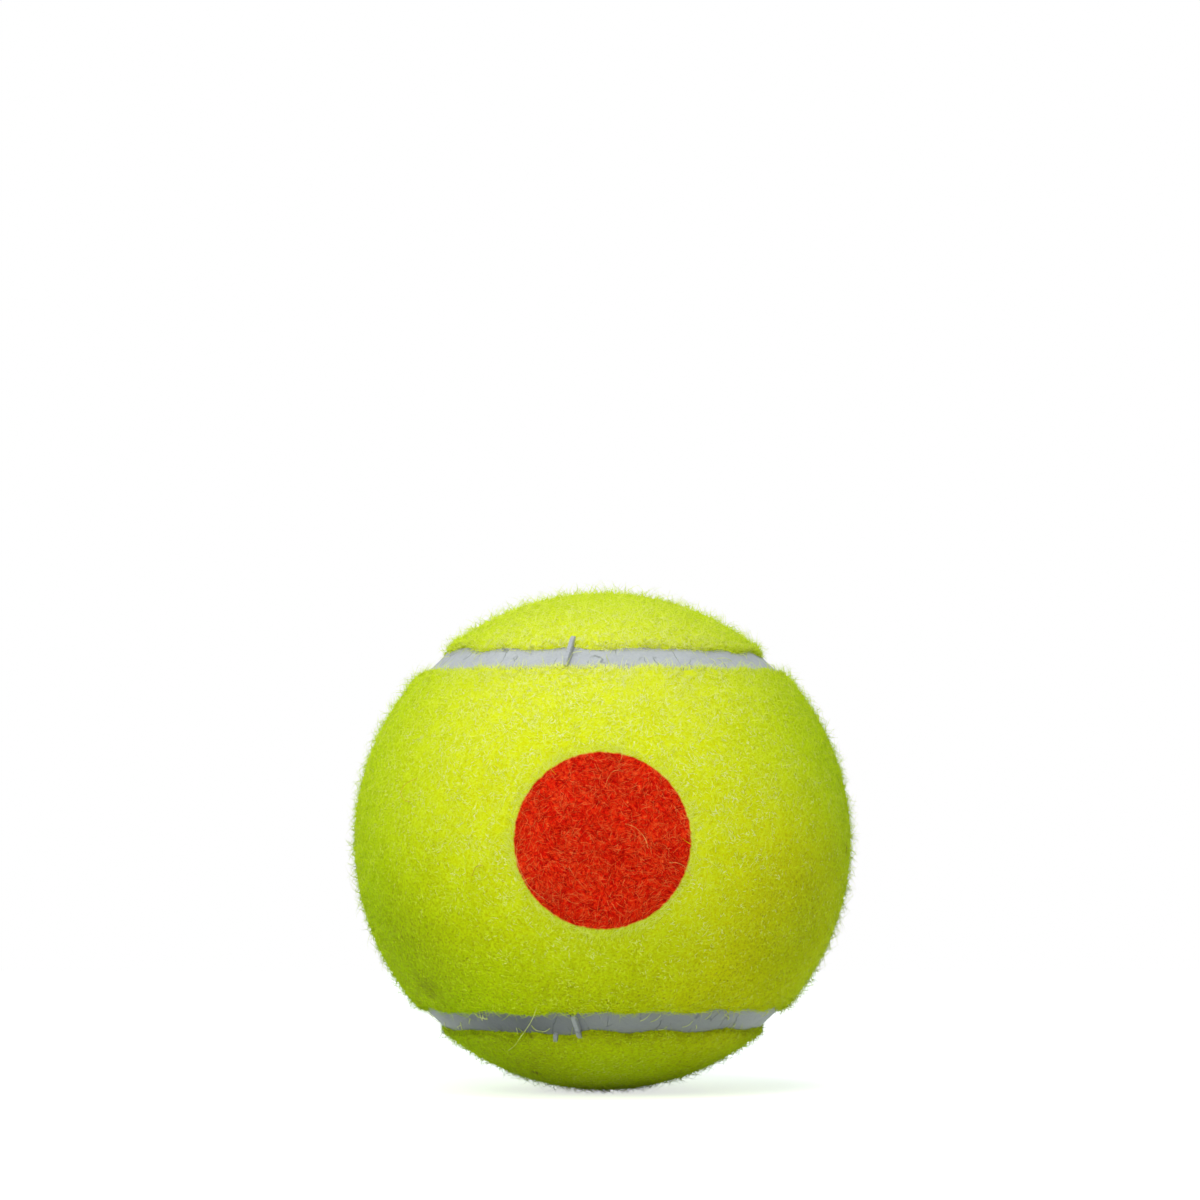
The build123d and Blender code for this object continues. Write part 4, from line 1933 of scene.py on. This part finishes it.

# Where play has pressed the nap flat and darker, partly painted shade over the dim lower half, and, with a
# negative strength, where the nap is brushed up and paler: painted light on the cap and at the bottom
WEAR_AND_PAINTED_LIGHT = (
    Patch((0.75, -0.55, -0.36), math.radians(40.0), 0.75),
    Patch((0.15, -0.45, -0.88), math.radians(48.0), 1.0),
    Patch((0.0, -0.80, -0.60), math.radians(26.0), 0.2),
    # Flattened, and darker as painted shade on the dim lower left
    Patch((-0.66, -0.50, -0.56), math.radians(44.0), 1.0),
    # Painted sheen: the cap brushed up and paler
    Patch((0.0, -0.45, 0.90), math.radians(60.0), -0.6),
    # Painted light: the bottom brushed up and lighter, against the shade by the table
    Patch((0.0, -0.34, -0.94), math.radians(20.0), -0.8),
)

# Where felt and seam are darker: soil, with painted shade on the felt's dim lower left and in its pits,
# and painted shadow on the lower seam
SOIL_AND_PAINTED_SHADE = (
    # Soil on the lower left, with painted shade over the dim side around it
    Patch((-0.70, -0.45, -0.58), math.radians(6.0), 0.25),
    Patch((-0.75, -0.45, -0.48), math.radians(26.0), 0.12),
    # Soil and painted shade in the pits: to the right, low on the left and on the lower belt
    Patch((0.73, -0.62, -0.28), math.radians(26.0), 0.12),
    Patch((-0.30, -0.40, -0.86), math.radians(16.0), 0.12),
    Patch((0.10, -0.85, -0.52), math.radians(38.0), 0.08),
    # Small spots of soil
    Patch((0.97, -0.22, -0.03), math.radians(2.2), 0.6),
    Patch((-0.26, -0.29, -0.92), math.radians(1.6), 0.9),
)
# Painted shadow on the lower seam, where the felt overhangs it
SEAM_PAINTED_SHADOW = (
    Patch((0.0, -0.60, -0.80), math.radians(58.0), 0.62),
    Patch((-0.50, -0.50, -0.70), math.radians(34.0), 0.4),
)
# Where the felt is paler and yellower: painted light over the lit upper front, its pale strands painted
# glints, and yellower, brighter patches to the lower right and at the bottom, partly painted light
FADE_AND_PAINTED_LIGHT = (
    Patch((-0.05, -0.90, 0.30), math.radians(78.0), 1.0),
    Patch((0.75, -0.55, -0.36), math.radians(48.0), 0.65),
    Patch((0.15, -0.45, -0.88), math.radians(45.0), 0.35),
)

# Longitudes and latitudes, in degrees, that the larger loose fibres pass
MARK_FIBRES = (
    ((-18.9, -1.6), (-18.6, -4.6), (-16.4, -9.6), (-12.9, -12.8)),
    ((14.6, -4.7), (16.4, -4.8), (18.2, -5.8), (19.7, -7.7)),
    ((4.9, 3.6), (7.0, 2.8), (8.9, 0.8), (9.9, -1.6)),
    ((3.9, 15.4), (2.4, 15.0), (1.2, 13.4), (0.6, 11.6)),
)
FELT_FIBRES = (
    ((-47.2, 13.8), (-50.4, 12.6), (-51.8, 10.6), (-50.2, 8.9), (-48.3, 8.5)),
    ((-27.0, -5.3), (-28.6, -5.7), (-29.9, -7.7)),
)
SEAM_FIBRE = ((-19.0, -39.5), (-22.0, -43.5), (-28.8, -49.0), (-33.0, -51.8), (-39.0, -54.5))
LINT_COUNT = 50
MARK_FIBRE_THICKNESS = 0.045 * MM
PALE_FIBRE = StrayFinish("pale fibre", (0.80, 0.24, 0.04), (0.92, 0.52, 0.16))
BROWN_FIBRE = StrayFinish("brown fibre", (0.50, 0.26, 0.02), (0.72, 0.48, 0.03))
WOOL_LINT = StrayFinish("wool lint", (0.66, 0.72, 0.05), (0.90, 0.92, 0.40))

BACK_RIM_SOIL = 0.25
FRONT_SEED, BACK_SEED = 20, 40  # before the first growth's


def main() -> None:
    """Build the pieces in order, then the studio."""
    logging.basicConfig(level=logging.INFO, format="%(name)s: %(message)s", force=True)
    seam = SeamLine()
    pile_radius = (CAD_BOX[1].z - CAD_BOX[0].z) / 2
    mark_low, mark_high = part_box("stage_mark")
    mark_radius = (mark_high.x - mark_low.x) / 2

    nap_tree, ground_tree, seam_tree = NapTree(), GroundTree(), SeamTree()
    wool = FibreFinish("nap wool", FRESH_WOOL, FADED_AND_LIT_WOOL).material()
    ground = GroundFinish("felt ground", FRESH_WOOL, FADED_AND_LIT_WOOL).material()

    mark = StageMark(mark_radius, pile_radius, FADE_AND_PAINTED_LIGHT)
    wear = (WEAR_AND_PAINTED_LIGHT, SOIL_AND_PAINTED_SHADE, FADE_AND_PAINTED_LIGHT)
    front = FeltPanel(PanelSide.FRONT, seam, pile_radius, *wear, ROLLED, ROLLED, bare_radius=mark.bare_radius)
    back = FeltPanel(PanelSide.BACK, seam, pile_radius, *wear, CUT, EASED, rim_soil=BACK_RIM_SOIL)
    for panel, first_seed in ((front, FRONT_SEED), (back, BACK_SEED)):
        panel.build(ground_tree, nap_tree, panel_growths(panel.side, first_seed), ground, wool)
        LOG.info("%s panel: %s", panel.side.value, [(p.name, len(p.data.polygons)) for p in panel.pieces])

    mark.build(nap_tree)
    LOG.info("stage mark: %s", [(p.name, len(p.data.polygons)) for p in mark.pieces])

    rubber = SeamFinish().material()
    strip = SeamStrip(seam, SEAM_PAINTED_SHADOW)
    flash = (
        FlashRib("flash_rib_upper", strip.surface_radius),
        LowerFlashRib("flash_rib_lower", strip.surface_radius),
        FlashTab("flash_tab_lower", strip.surface_radius),
    )
    for piece in (strip.build(seam_tree, rubber), *(rib.build(rubber) for rib in flash)):
        LOG.info("seam: %s, %d faces", piece.name, len(piece.data.polygons))

    fibre_tree = FibreTree()
    pale, brown, lint = (
        LooseFibres("pale_fibres", "inked_felt", thickness=MARK_FIBRE_THICKNESS),
        LooseFibres("brown_fibres", "yellow_felt"),
        LooseFibres("seam_lint", "yellow_felt"),
    )
    for course in MARK_FIBRES:
        pale.lay(pile_radius, course)
    for course in FELT_FIBRES:
        brown.lay(pile_radius, course)
    lint.lay(pile_radius, SEAM_FIBRE)
    lint.strew(seam, strip.surface_radius, LINT_COUNT)
    for fibres, finish in ((pale, PALE_FIBRE), (brown, BROWN_FIBRE), (lint, WOOL_LINT)):
        LOG.info("loose fibres: %s", fibres.build(fibre_tree, finish.material()).name)
    LOG.info("hidden layers: %s", HiddenLayers().dress())

    Studio(floor_height=CAD_BOX[0].z).build()


if __name__ == "__main__":
    main()
